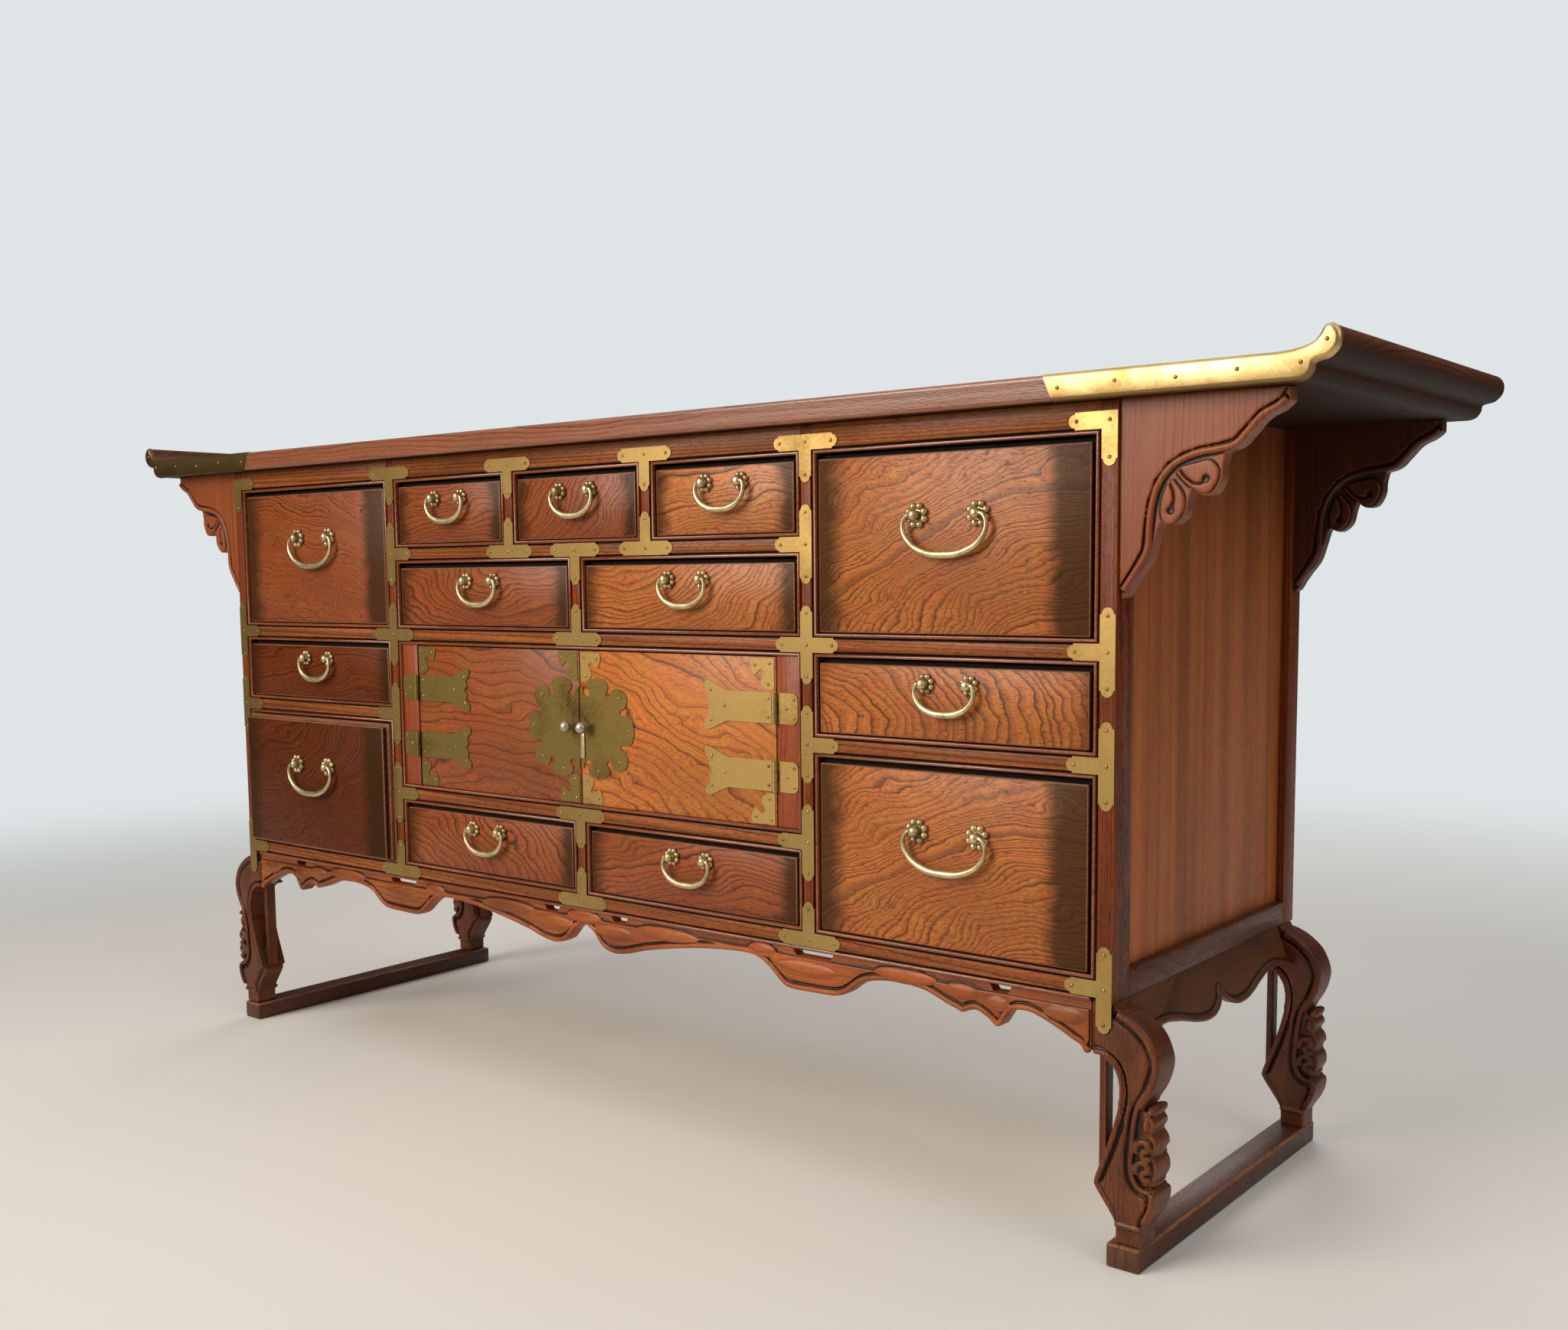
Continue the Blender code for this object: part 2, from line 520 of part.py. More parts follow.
def make_bail(name, pivot, handle, material):
    """Swelling bar hung from two pins that point at each other inside the posts."""
    spacing, width, drop, _ = handle
    reach = width / 2 - PIN_RADIUS
    post_face = spacing / 2 + HANDLE_POST_RADIUS
    start = post_face - PIN_DEPTH
    bend = [(start, 0.0), (post_face + SEAT_GAP, 0.0)]
    bend += smooth([(reach - (reach - post_face) / 3, -0.07 * drop), (reach, -0.30 * drop),
                    (0.88 * reach, -0.62 * drop), (0.52 * reach, -0.91 * drop), (0.0, -drop)], steps=2)
    path = bend + [(-x, z) for x, z in reversed(bend[:-1])]
    sides = 6
    bm = bmesh.new()
    rings = []
    for index, (x, z) in enumerate(path):
        before = Vector(path[max(index - 1, 0)])
        after = Vector(path[min(index + 1, len(path) - 1)])
        along = (after - before).normalized()
        swell = max(0.0, -z / drop) ** 1.5
        radius = PIN_RADIUS + (BAR_RADIUS - PIN_RADIUS) * swell
        ring = []
        for corner in range(sides):
            angle = 2 * math.pi * (corner + 0.5) / sides
            out = radius * math.cos(angle)
            ring.append(bm.verts.new((pivot.x + x - along.y * out, pivot.y + radius * math.sin(angle),
                                      pivot.z + z + along.x * out)))
        rings.append(ring)
    bm.faces.new(rings[0])
    bm.faces.new(rings[-1])
    for first, second in zip(rings, rings[1:]):
        for corner in range(sides):
            after = (corner + 1) % sides
            bm.faces.new((first[corner], first[after], second[after], second[corner]))
    return add_object(name, bm, material, pivot)


def door_edges():
    """Meeting edge, hinge edge and levels of the right-hand door, and the hinge line."""
    stile_edge = INNER_POST_X - INNER_POST_WIDTH / 2 - STILE_WIDTH
    low, high = opening_z(1, 3)
    hinge_y = FACE_Y - SEAT_GAP - KNUCKLE_LIFT - KNUCKLE_RADIUS
    hinge = Vector((stile_edge - DOOR_GAP / 2, hinge_y, 0.0))
    return DOOR_GAP / 2, stile_edge - DOOR_GAP, low + SEAT_GAP, high - DOOR_GAP, hinge


def hinge_levels():
    """Middle heights of the lower and the upper hinge."""
    _, _, low, high, _ = door_edges()
    middle = (low + high) / 2
    return (("lower", middle - HINGE_SPREAD), ("upper", middle + HINGE_SPREAD))


def make_door(name, side, material):
    meeting, edge, low, high, hinge = door_edges()
    return add_object(f"{name}_door", boxes(mirrored_box(
        side, (meeting, FACE_Y, low), (edge, FACE_Y + DOOR_THICKNESS, high))),
        material, (side * hinge.x, hinge.y, low))


def make_hinge(name, side, level_name, z, material):
    """Strap leaf with the middle knuckle on the door, jamb leaf with two knuckles and the pin."""
    hinge = door_edges()[4]
    half = STRAP_HEIGHT / 2
    flare = STRAP_FLARE / 2
    waist = 0.66 * STRAP_LENGTH
    tail = smooth([(waist, half), (0.77 * STRAP_LENGTH, 0.6 * half + 0.4 * flare),
                   (0.91 * STRAP_LENGTH, flare), (0.985 * STRAP_LENGTH, 0.93 * flare),
                   (0.975 * STRAP_LENGTH, 0.66 * flare), (0.92 * STRAP_LENGTH, 0.45 * flare),
                   (0.94 * STRAP_LENGTH, 0.22 * flare), (0.89 * STRAP_LENGTH, 0.0)], steps=2)
    upper = [(-KNUCKLE_SETBACK, half)] + [(-x, h) for x, h in tail]
    edge = upper + [(x, -h) for x, h in reversed(upper[:-1])]
    middle = STRAP_HEIGHT / 6 - KNUCKLE_SPACE / 2 - TAB_INSET
    outline = edge + [(-KNUCKLE_SETBACK, -middle), (0.0, -middle), (0.0, middle), (-KNUCKLE_SETBACK, middle)]
    far = FACE_Y - SEAT_GAP
    axis_x = side * hinge.x
    strap = add_object(f"{name}_{level_name}_strap", slab(
        [(side * (hinge.x + x), z + h) for x, h in outline], far - PLATE_THICKNESS, far),
        material, (axis_x, hinge.y, z))
    add_knuckle(strap, axis_x, hinge.y, z - middle, z + middle)
    combine(strap, rod(HINGE_PIN_RADIUS + PIN_CLEARANCE, (axis_x, hinge.y, z - half),
                       (axis_x, hinge.y, z + half), 12), "DIFFERENCE")

    inner = STRAP_HEIGHT / 6 + KNUCKLE_SPACE / 2 + TAB_INSET
    outer = half - TAB_INSET
    leaf_end = STILE_WIDTH + DOOR_GAP / 2 - LEAF_MARGIN
    corner = (leaf_end - LEAF_CORNER, half - LEAF_CORNER)
    upper = [(KNUCKLE_SETBACK, inner), (0.0, inner), (0.0, outer), (KNUCKLE_SETBACK, outer),
             (KNUCKLE_SETBACK, half)] + list(reversed(arc(corner, LEAF_CORNER, 0, 90, 4)))
    leaf = upper + [(x, -h) for x, h in reversed(upper)]
    jamb = add_object(f"{name}_{level_name}_jamb_leaf", slab(
        [(side * (hinge.x + x), z + h) for x, h in leaf], far - PLATE_THICKNESS, far), material)
    for low, high in ((-outer, -inner), (inner, outer)):
        add_knuckle(jamb, axis_x, hinge.y, z + low, z + high)
    combine(jamb, rod(HINGE_PIN_RADIUS, (axis_x, hinge.y, z - (inner + outer) / 2),
                      (axis_x, hinge.y, z + (inner + outer) / 2), 12), "UNION")


def add_knuckle(leaf, x, y, low, high):
    """Round barrel a little longer than the tab that runs into it."""
    combine(leaf, rod(KNUCKLE_RADIUS, (x, y, low - TAB_INSET), (x, y, high + TAB_INSET)), "UNION")


def make_lock_plate(name, side, material):
    """Half of the lobed plate, with its ball knob."""
    meeting, _, low, high, _ = door_edges()
    middle = (low + high) / 2
    far = FACE_Y - SEAT_GAP
    near = far - PLATE_THICKNESS
    w, h = LOCK_HALF_WIDTH, LOCK_HEIGHT / 2
    lobes = [((0.34, 0.66), 0.226, 150, 25), ((0.72, 0.52), 0.177, 115, -35), ((0.81, 0.0), 0.188, 75, -75)]
    steps = 6
    upper = [(meeting, 0.80 * h), (0.16 * w, 0.78 * h)]
    for (cx, cz), radius, start, end in lobes:
        upper += arc((cx * w, cz * h), radius * w, start, end, steps)
    lower = [(x, -z) for x, z in reversed(upper[:-steps - 1])]
    outline = [(side * x, middle + z) for x, z in upper + lower]
    plate = add_object(f"{name}_lock_plate", slab(outline, near, far), material)
    x = side * KNOB_OFFSET
    combine(plate, rod(KNOB_NECK_RADIUS, (x, near - KNOB_REACH, middle), (x, far, middle), 12), "UNION")
    ball = bmesh.new()
    bmesh.ops.create_uvsphere(ball, u_segments=12, v_segments=8, radius=KNOB_RADIUS,
                              matrix=Matrix.Translation((x, near - KNOB_REACH, middle)))
    combine(plate, ball, "UNION")
    return plate


def build():
    for stale in list(bpy.data.objects):
        bpy.data.objects.remove(stale)
    fronts = finish("figured_elm", (0.32, 0.105, 0.030), 0.35)
    frame_wood = finish("red_brown_elm", (0.17, 0.052, 0.022), 0.38)
    dark_wood = finish("dark_elm", (0.085, 0.030, 0.016), 0.35)
    side_wood = finish("side_elm", (0.15, 0.055, 0.026), 0.42)
    inside_wood = finish("plain_inside_wood", (0.36, 0.22, 0.11), 0.65)
    brass = finish("aged_brass", (0.52, 0.37, 0.13), 0.35, 1.0)
    antique = finish("antique_pale_brass", (0.42, 0.35, 0.22), 0.35, 1.0)

    make_front_frame(frame_wood)
    for name, side in SIDES:
        make_side(name, side, side_wood)
    make_inside(inside_wood)
    make_top(dark_wood)
    for name, side in SIDES:
        front_near = FRONT_Y + SPANDREL_INSET
        rear_near = BACK_Y - SPANDREL_INSET - SPANDREL_THICKNESS
        make_spandrel(f"{name}_front_spandrel", side, front_near, dark_wood)
        make_spandrel(f"{name}_rear_spandrel", side, rear_near, dark_wood)
        make_leg(f"{name}_front_leg", side, FRONT_Y, dark_wood)
        make_leg(f"{name}_rear_leg", side, BACK_Y - LEG_DEPTH, dark_wood)
        inner = HALF_WIDTH - FLOOR_RUNNER_INSET
        add_object(f"{name}_floor_runner", boxes(mirrored_box(
            side, (inner, FRONT_Y, 0.0), (inner + FLOOR_RUNNER_WIDTH, BACK_Y, FLOOR_RUNNER_HEIGHT))),
            dark_wood)
    make_front_apron(frame_wood)
    for name, span, levels, handle in drawer_layout():
        make_drawer(name, span, levels, handle, fronts)
        pivot = handle_pivot(name, span, levels, handle[3])
        make_bail(name.replace("drawer", "bail"), pivot, handle, antique)
    for name, side in SIDES:
        make_door(name, side, fronts)
        make_lock_plate(name, side, brass)
        for level_name, z in hinge_levels():
            make_hinge(name, side, level_name, z, brass)


build()
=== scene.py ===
import math

import bpy
import numpy as np
from mathutils import Matrix, Vector


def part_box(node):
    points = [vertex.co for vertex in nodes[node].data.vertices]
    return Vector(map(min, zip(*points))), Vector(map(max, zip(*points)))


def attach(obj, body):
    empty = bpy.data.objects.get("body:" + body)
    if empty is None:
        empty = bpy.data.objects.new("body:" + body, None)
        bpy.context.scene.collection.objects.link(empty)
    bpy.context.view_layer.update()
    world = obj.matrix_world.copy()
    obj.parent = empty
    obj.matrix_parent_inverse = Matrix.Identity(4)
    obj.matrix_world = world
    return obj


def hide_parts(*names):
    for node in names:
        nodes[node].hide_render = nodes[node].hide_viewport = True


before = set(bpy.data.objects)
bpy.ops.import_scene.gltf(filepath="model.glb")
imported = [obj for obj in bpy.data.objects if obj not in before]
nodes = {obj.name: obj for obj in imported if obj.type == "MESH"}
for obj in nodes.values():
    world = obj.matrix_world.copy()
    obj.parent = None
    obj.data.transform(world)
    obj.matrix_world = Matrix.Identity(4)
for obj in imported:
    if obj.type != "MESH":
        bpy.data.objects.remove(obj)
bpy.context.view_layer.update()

# Pagoda sideboard: elm drawers and doors in a beaded frame, carved legs and brackets, nailed brass.

# Front frame, ground: the posts, rails and dividers, elm tenoned into one frame and made nearly black.
# It shows in the grooves beside the beads, as dark stain, and on the walls of the openings, as painted
# shade.
RAIL_WIDTH = 0.025
OUTER_POST_WIDTH = 0.023
INNER_POST_WIDTH = 0.026
GROOVE_DEPTH = 0.0040        # strips and beads in front of the ground
DRAWER_SIDE_GAP = 0.001
DRAWER_FOOT_GAP = 0.0003
DRAWER_HEAD_GAP = 0.002
DOOR_GAP = 0.0015
frame_low, frame_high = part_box("front_frame")
front = frame_low.y
half_width = frame_high.x
post_inner_edge = half_width - OUTER_POST_WIDTH
bottom_rail = frame_low.z + RAIL_WIDTH / 2
rail_pitch = (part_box("right_middle_drawer")[0].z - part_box("right_bottom_drawer")[0].z) / 2
rails = [bottom_rail + step * rail_pitch for step in range(6)]
inner_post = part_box("right_top_drawer")[0].x - DRAWER_SIDE_GAP - INNER_POST_WIDTH / 2
SIDES = (("left", -1), ("right", 1))


def hex_colour(code):
    """An sRGB hex colour as the linear colour that a shader socket takes."""
    channels = [int(code[place:place + 2], 16) / 255 for place in (1, 3, 5)]
    linear = [c / 12.92 if c <= 0.04045 else ((c + 0.055) / 1.055) ** 2.4 for c in channels]
    return (*linear, 1.0)


def add_node(tree, kind, sockets=None, **settings):
    """Add a shader node: settings are its own values, sockets take a constant or another node's output."""
    node = tree.nodes.new(kind)
    for name, value in settings.items():
        setattr(node, name, value)
    for name, value in (sockets or {}).items():
        if isinstance(value, bpy.types.NodeSocket):
            tree.links.new(value, node.inputs[name])
        else:
            node.inputs[name].default_value = value
    return node


AXES = {"X": Vector((1, 0, 0)), "Y": Vector((0, 1, 0)), "Z": Vector((0, 0, 1))}


def lacquered_elm(name, grain, across, ground, line, middle=(0.0, 0.0, 0.0), ring=0.0055,
                  heart=(0.0, 0.0, 0.35),
                  tilt=0.02, wander=0.012, sweep=0.26, streak=2.0, waver=0.0010, ripple=0.035,
                  line_share=1.0,
                  faint=0.45, late=0.09, pore=0.62, blotch=0.19, gloss=0.38, sheen=0.30, coat=0.07,
                  smoke=None, relief=False, under=None):
    """Elm sawn from a trunk: the rings round its heart show on the face as lines and arches.

    Ring-porous wood takes the stain in its open pores, so every ring ends in a dark line that fades
    one way.
    The heart is given along the grain, across it and behind the face, from the middle of the board.
    """
    material = bpy.data.materials.new(name)
    material.use_nodes = True
    tree = material.node_tree
    shader = tree.nodes["Principled BSDF"]
    place = add_node(tree, "ShaderNodeTexCoord").outputs["Object"]
    along, over = AXES[grain], AXES[across]
    turn = Matrix((along, over, along.cross(over))).transposed()
    board_place = add_node(tree, "ShaderNodeMapping", {
        "Vector": place, "Location": middle, "Rotation": turn.to_euler()}, vector_type="TEXTURE").outputs[0]

    # The trunk wanders over a hand's width and wavers over a finger's. Lines are jagged from pore to pore.
    bent = board_place
    bends = {}
    for bend, length, width, reach in (("wide", sweep, sweep / streak, wander),
                                       ("close", ripple, ripple / 1.7, waver),
                                       ("jag", 0.0060, 0.0045, 0.0007)):
        spread = add_node(tree, "ShaderNodeVectorMath", {
            0: board_place, 1: (1 / length, 1 / width, 1 / width)}, operation="MULTIPLY").outputs[0]
        bends[bend] = add_node(tree, "ShaderNodeTexNoise", {"Vector": spread, "Scale": 1.0, "Detail": 2.0})
        bent = add_node(tree, "ShaderNodeVectorMath", {
            0: bends[bend].outputs["Color"], 1: (0.0, 2 * reach, 2 * reach), 2: bent},
            operation="MULTIPLY_ADD").outputs[0]

    # Rings round the heart, which comes nearer to the face along the board.
    split = add_node(tree, "ShaderNodeSeparateXYZ", {0: bent})
    nearer = add_node(tree, "ShaderNodeMath", {
        0: split.outputs[0], 1: tilt, 2: heart[2] - tilt * heart[0]}, operation="MULTIPLY_ADD")
    depth = add_node(tree, "ShaderNodeMath", {0: nearer.outputs[0], 1: split.outputs[2]}, operation="ADD")
    sideways = add_node(tree, "ShaderNodeMath", {0: split.outputs[1], 1: heart[1]}, operation="SUBTRACT")
    from_heart = add_node(tree, "ShaderNodeCombineXYZ", {0: sideways.outputs[0], 1: depth.outputs[0]})
    radius = add_node(tree, "ShaderNodeVectorMath", {0: from_heart.outputs[0]},
                      operation="LENGTH").outputs[1]
    years = add_node(tree, "ShaderNodeMath", {0: radius, 1: 1 / ring}, operation="MULTIPLY").outputs[0]
    lean_years = add_node(tree, "ShaderNodeTexNoise", {"W": years, "Scale": 0.22, "Detail": 1.0},
                          noise_dimensions="1D").outputs[0]
    uneven = add_node(tree, "ShaderNodeMath", {0: lean_years, 1: 3.0, 2: years},
                      operation="MULTIPLY_ADD").outputs[0]
    season = add_node(tree, "ShaderNodeMath", {0: uneven}, operation="FRACT").outputs[0]
    ring_colours = add_node(tree, "ShaderNodeValToRGB", {0: season})
    stops = ring_colours.color_ramp.elements
    light, dark = hex_colour(ground), hex_colour(line)
    stops[0].position, stops[0].color = 0.0, dark
    stops[1].position, stops[1].color = 1.0, dark
    for position, share in ((0.05 * line_share, 0.16), (0.16 * line_share, 0.62),
                            (0.42 * line_share, 0.96), (0.60, 1.04), (1 - 0.07 * line_share, 0.90)):
        stops.new(position).color = [max(0.0, d + (g - d) * share) for g, d in zip(light, dark)]

    # No two years are alike: some lines are bold, some hardly show, and whole stretches are calm.
    year = add_node(tree, "ShaderNodeMath", {0: uneven}, operation="FLOOR").outputs[0]
    chance = add_node(tree, "ShaderNodeTexWhiteNoise", {"W": year}, noise_dimensions="1D").outputs[0]
    calm = add_node(tree, "ShaderNodeMapRange", {
        "Value": bends["wide"].outputs[0], "From Min": 0.40, "From Max": 0.65, "To Min": 0.0,
        "To Max": 0.6}).outputs[0]
    fainter = add_node(tree, "ShaderNodeMath", {0: chance, 1: calm}, operation="ADD").outputs[0]
    strength = add_node(tree, "ShaderNodeMapRange", {
        "Value": fainter, "From Min": 0.2, "From Max": 1.1, "To Min": 0.0, "To Max": faint}).outputs[0]
    bold = add_node(tree, "ShaderNodeMix", {0: strength, 6: ring_colours.outputs[0], 7: light},
                    data_type="RGBA")
    weeks = add_node(tree, "ShaderNodeMath", {0: uneven, 1: 18.0}, operation="MULTIPLY").outputs[0]
    week_wave = add_node(tree, "ShaderNodeMath", {0: weeks}, operation="SINE").outputs[0]
    late_tone = add_node(tree, "ShaderNodeMapRange", {
        "Value": week_wave, "From Min": -1.0, "To Min": 0.97 - late, "To Max": 0.97 + late}).outputs[0]
    rings = add_node(tree, "ShaderNodeVectorMath", {0: bold.outputs[2], "Scale": late_tone},
                     operation="SCALE")

    # Pores: short dark dashes along the grain. Real ones are a third of a millimetre wide, too fine to
    # show, so they are drawn four times as wide.
    pore_place = add_node(tree, "ShaderNodeVectorMath", {
        0: bent, 1: (1 / 0.008, 1 / 0.0013, 1 / 0.0013)}, operation="MULTIPLY").outputs[0]
    pore_noise = add_node(tree, "ShaderNodeTexNoise", {"Vector": pore_place, "Scale": 1.0, "Detail": 1.0})
    pores = add_node(tree, "ShaderNodeMapRange", {
        "Value": pore_noise.outputs[0], "From Min": 0.48, "From Max": 0.76, "To Max": pore}).outputs[0]
    pored = add_node(tree, "ShaderNodeMix", {0: pores, 6: rings.outputs[0], 7: dark},
                     data_type="RGBA").outputs[2]
    tone = add_node(tree, "ShaderNodeMapRange", {
        "Value": bends["wide"].outputs[0], "From Min": 0.30, "From Max": 0.70,
        "To Min": 1 + blotch, "To Max": 1 - blotch}).outputs[0]
    warmth = add_node(tree, "ShaderNodeMapRange", {
        "Value": bends["close"].outputs[0], "From Min": 0.30, "From Max": 0.70, "To Min": 0.494,
        "To Max": 0.508}).outputs[0]
    colour = add_node(tree, "ShaderNodeHueSaturation", {"Hue": warmth, "Value": tone,
                                                        "Color": pored}).outputs[0]

    # Undersides: painted shade, a dark colour mixed in the more the surface looks down.
    if under:
        facing = add_node(tree, "ShaderNodeTexCoord").outputs["Normal"]
        upward = add_node(tree, "ShaderNodeSeparateXYZ", {0: facing}).outputs[2]
        below = add_node(tree, "ShaderNodeMapRange", {
            "Value": upward, "From Min": 0.40, "From Max": -0.50}).outputs[0]
        colour = add_node(tree, "ShaderNodeMix", {
            0: below, 6: colour, 7: hex_colour(under)}, data_type="RGBA").outputs[2]

    # Smoked ends: a dark stain rubbed in from both ends of a drawer front, dull, with a soft ragged border.
    lustre = None
    if smoke:
        half_length, smoke_colour, left_band, right_band = smoke
        offset = add_node(tree, "ShaderNodeVectorMath", {0: place, 1: middle},
                          operation="SUBTRACT").outputs[0]
        across_face = add_node(tree, "ShaderNodeSeparateXYZ", {0: offset}).outputs[0]
        left_edge, right_edge = left_band - half_length, half_length - right_band
        ragged = add_node(tree, "ShaderNodeMath", {0: bends["close"].outputs[0], 1: 0.026, 2: across_face},
                          operation="MULTIPLY_ADD").outputs[0]
        leftward = add_node(tree, "ShaderNodeMapRange", {
            "Value": ragged, "From Min": left_edge + 0.030, "From Max": left_edge - 0.002},
            interpolation_type="SMOOTHSTEP").outputs[0]
        rightward = add_node(tree, "ShaderNodeMapRange", {
            "Value": ragged, "From Min": right_edge + 0.004, "From Max": right_edge + 0.030},
            interpolation_type="SMOOTHSTEP").outputs[0]
        smoked = add_node(tree, "ShaderNodeMath", {0: leftward, 1: rightward},
                          operation="MAXIMUM").outputs[0]
        weight = add_node(tree, "ShaderNodeMath", {0: smoked, 1: 0.87}, operation="MULTIPLY").outputs[0]
        colour = add_node(tree, "ShaderNodeMix", {
            0: weight, 6: colour, 7: hex_colour(smoke_colour)}, data_type="RGBA").outputs[2]
        lustre = add_node(tree, "ShaderNodeMapRange", {
            "Value": smoked, "To Min": sheen, "To Max": 0.35 * sheen}).outputs[0]

    # Carving: stain left in the hollows and rubbed off the ridges, read from the piece's own relief.
    if relief:
        hollow = add_node(tree, "ShaderNodeAttribute", attribute_name="relief").outputs["Fac"]
        stained = add_node(tree, "ShaderNodeMapRange", {
            "Value": hollow, "From Min": 0.52, "From Max": 0.60, "To Max": 0.97}).outputs[0]
        rubbed = add_node(tree, "ShaderNodeMapRange", {
            "Value": hollow, "From Min": 0.42, "From Max": 0.22, "To Max": 0.30}).outputs[0]
        colour = add_node(tree, "ShaderNodeMix", {
            0: stained, 6: colour, 7: hex_colour("#0d0604")}, data_type="RGBA").outputs[2]
        colour = add_node(tree, "ShaderNodeMix", {
            0: rubbed, 6: colour, 7: hex_colour("#9a5526")}, data_type="RGBA").outputs[2]

    roughness = add_node(tree, "ShaderNodeMapRange", {
        "Value": pores, "To Min": gloss, "To Max": gloss + 0.25}).outputs[0]
    bump = add_node(tree, "ShaderNodeBump", {
        "Height": pores, "Strength": 0.25, "Distance": 0.0006}, invert=True).outputs[0]
    for socket, source in (("Base Color", colour), ("Roughness", roughness), ("Normal", bump)):
        tree.links.new(source, shader.inputs[socket])
    shader.inputs["Specular IOR Level"].default_value = sheen
    if lustre:
        tree.links.new(lustre, shader.inputs["Specular IOR Level"])
    shader.inputs["Coat Weight"].default_value = coat
    shader.inputs["Coat Roughness"].default_value = 0.22
    return material


def select_only(*pieces):
    """Select these pieces and nothing else, the last one active."""
    bpy.ops.object.select_all(action="DESELECT")
    for piece in pieces:
        piece.select_set(True)
        bpy.context.view_layer.objects.active = piece


def fit(piece, material, body, slot, *stands_for):
    """Give a piece its finish, hang it on its body and hide the solids that it stands for."""
    piece.data.materials.clear()
    piece.data.materials.append(material)
    piece.data.polygons.foreach_set("material_index", [0] * len(piece.data.polygons))
    select_only(piece)
    bpy.ops.object.shade_smooth_by_angle(angle=math.radians(38))
    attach(piece, body)
    if stands_for:
        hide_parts(*stands_for)
    return piece


def copy_solid(node, name):
    """A merged copy of a node's solid, to be worked on."""
    piece = bpy.data.objects.new(name, nodes[node].data.copy())
    bpy.context.scene.collection.objects.link(piece)
    piece.data.transform(nodes[node].matrix_world)
    select_only(piece)
    bpy.ops.object.mode_set(mode="EDIT")
    bpy.ops.mesh.select_all(action="SELECT")
    bpy.ops.mesh.remove_doubles(threshold=0.00001)
    bpy.ops.object.mode_set(mode="OBJECT")
    return piece


# Nearly black: a dark stain in the grooves beside the beads, and painted shade on the walls of the openings
# and behind the drawer faces.
groove_stain_and_shade = lacquered_elm("near_black_stain_and_painted_shade", "X", "Z", "#120906", "#080403", faint=0.7, gloss=0.8,
                             coat=0.0)
ground = copy_solid("front_frame", "frame_ground")
TOUCH = 0.0001
for vertex in ground.data.vertices:
    if vertex.co.y < front + TOUCH:
        vertex.co.y += GROOVE_DEPTH
    if abs(vertex.co.x) > half_width - TOUCH:
        vertex.co.x -= math.copysign(0.001, vertex.co.x)
fit(ground, groove_stain_and_shade, "case", "red_brown_elm", "front_frame")

# Front frame, faces: the flat strip on each post, rail and divider, planed elm with its edges eased.
# The grain runs along each member, and the outer posts show their sides too.
STRIP_WIDTH = 0.0130
STRIP_DEPTH = 0.006
BEAD_WIDTH = 0.0037
GROOVE_WIDTH = 0.0023


def board(name, corner, far_corner, ease=0.0008):
    """A planed board between two corners, with eased edges."""
    low = Vector(map(min, corner, far_corner))
    high = Vector(map(max, corner, far_corner))
    bpy.ops.object.select_all(action="DESELECT")
    bpy.ops.mesh.primitive_cube_add(size=1.0, location=(low + high) / 2, scale=high - low)
    bpy.ops.object.transform_apply(location=True, rotation=True, scale=True)
    bpy.ops.object.mode_set(mode="EDIT")
    bpy.ops.mesh.bevel(offset=ease, segments=2, affect="EDGES")
    bpy.ops.object.mode_set(mode="OBJECT")
    piece = bpy.context.object
    piece.name = name
    return piece


def join(name, pieces):
    """Join pieces into one object."""
    select_only(*pieces)
    bpy.ops.object.join()
    piece = bpy.context.object
    piece.name = name
    return piece


half_strip = STRIP_WIDTH / 2
strip_back = front + STRIP_DEPTH
strip_edge = post_inner_edge + BEAD_WIDTH + GROOVE_WIDTH
post_strips = []
for side in (-1, 1):
    post_strips.append(board("post", (side * strip_edge, front, frame_low.z),
                             (side * half_width, frame_high.y, frame_high.z)))
    post_strips.append(board("post", (side * inner_post - half_strip, front, frame_low.z),
                             (side * inner_post + half_strip, strip_back, frame_high.z)))
small_bay = 2 * inner_post / 3
for x, rail in ((-small_bay / 2, 4), (small_bay / 2, 4), (0.0, 3), (0.0, 0)):
    post_strips.append(board("divider", (x - half_strip, front, rails[rail] + half_strip),
                             (x + half_strip, strip_back, rails[rail + 1] - half_strip)))
post_elm = lacquered_elm("red_brown_elm_posts", "Z", "X", "#7a3614", "#260e05", ring=0.0042,
                         heart=(0.0, 0.0, 0.22), wander=0.0015, streak=26.0, waver=0.0006, faint=0.35,
                         blotch=0.34, sheen=0.18, coat=0.04)
fit(join("frame_post_strips", post_strips), post_elm, "case", "red_brown_elm")

rail_strips = []
bays = [(-strip_edge, -inner_post - half_strip, (0, 2, 3, 5)),
        (half_strip - inner_post, inner_post - half_strip, (0, 1, 3, 4, 5)),
        (inner_post + half_strip, strip_edge, (0, 2, 3, 5))]
for left, right, levels in bays:
    for level in levels:
        top = frame_high.z if level == 5 else rails[level] + half_strip
        rail_strips.append(board("rail", (left, front, rails[level] - half_strip),
                                 (right, strip_back, top)))
rail_elm = lacquered_elm("red_brown_elm_rails", "X", "Z", "#8a4b20", "#2c1509", ring=0.0042,
                         heart=(0.0, 0.0, 0.22), wander=0.0015, streak=26.0, waver=0.0006, faint=0.35,
                         blotch=0.34, sheen=0.18, coat=0.04)
fit(join("frame_rail_strips", rail_strips), rail_elm, "case", "red_brown_elm")

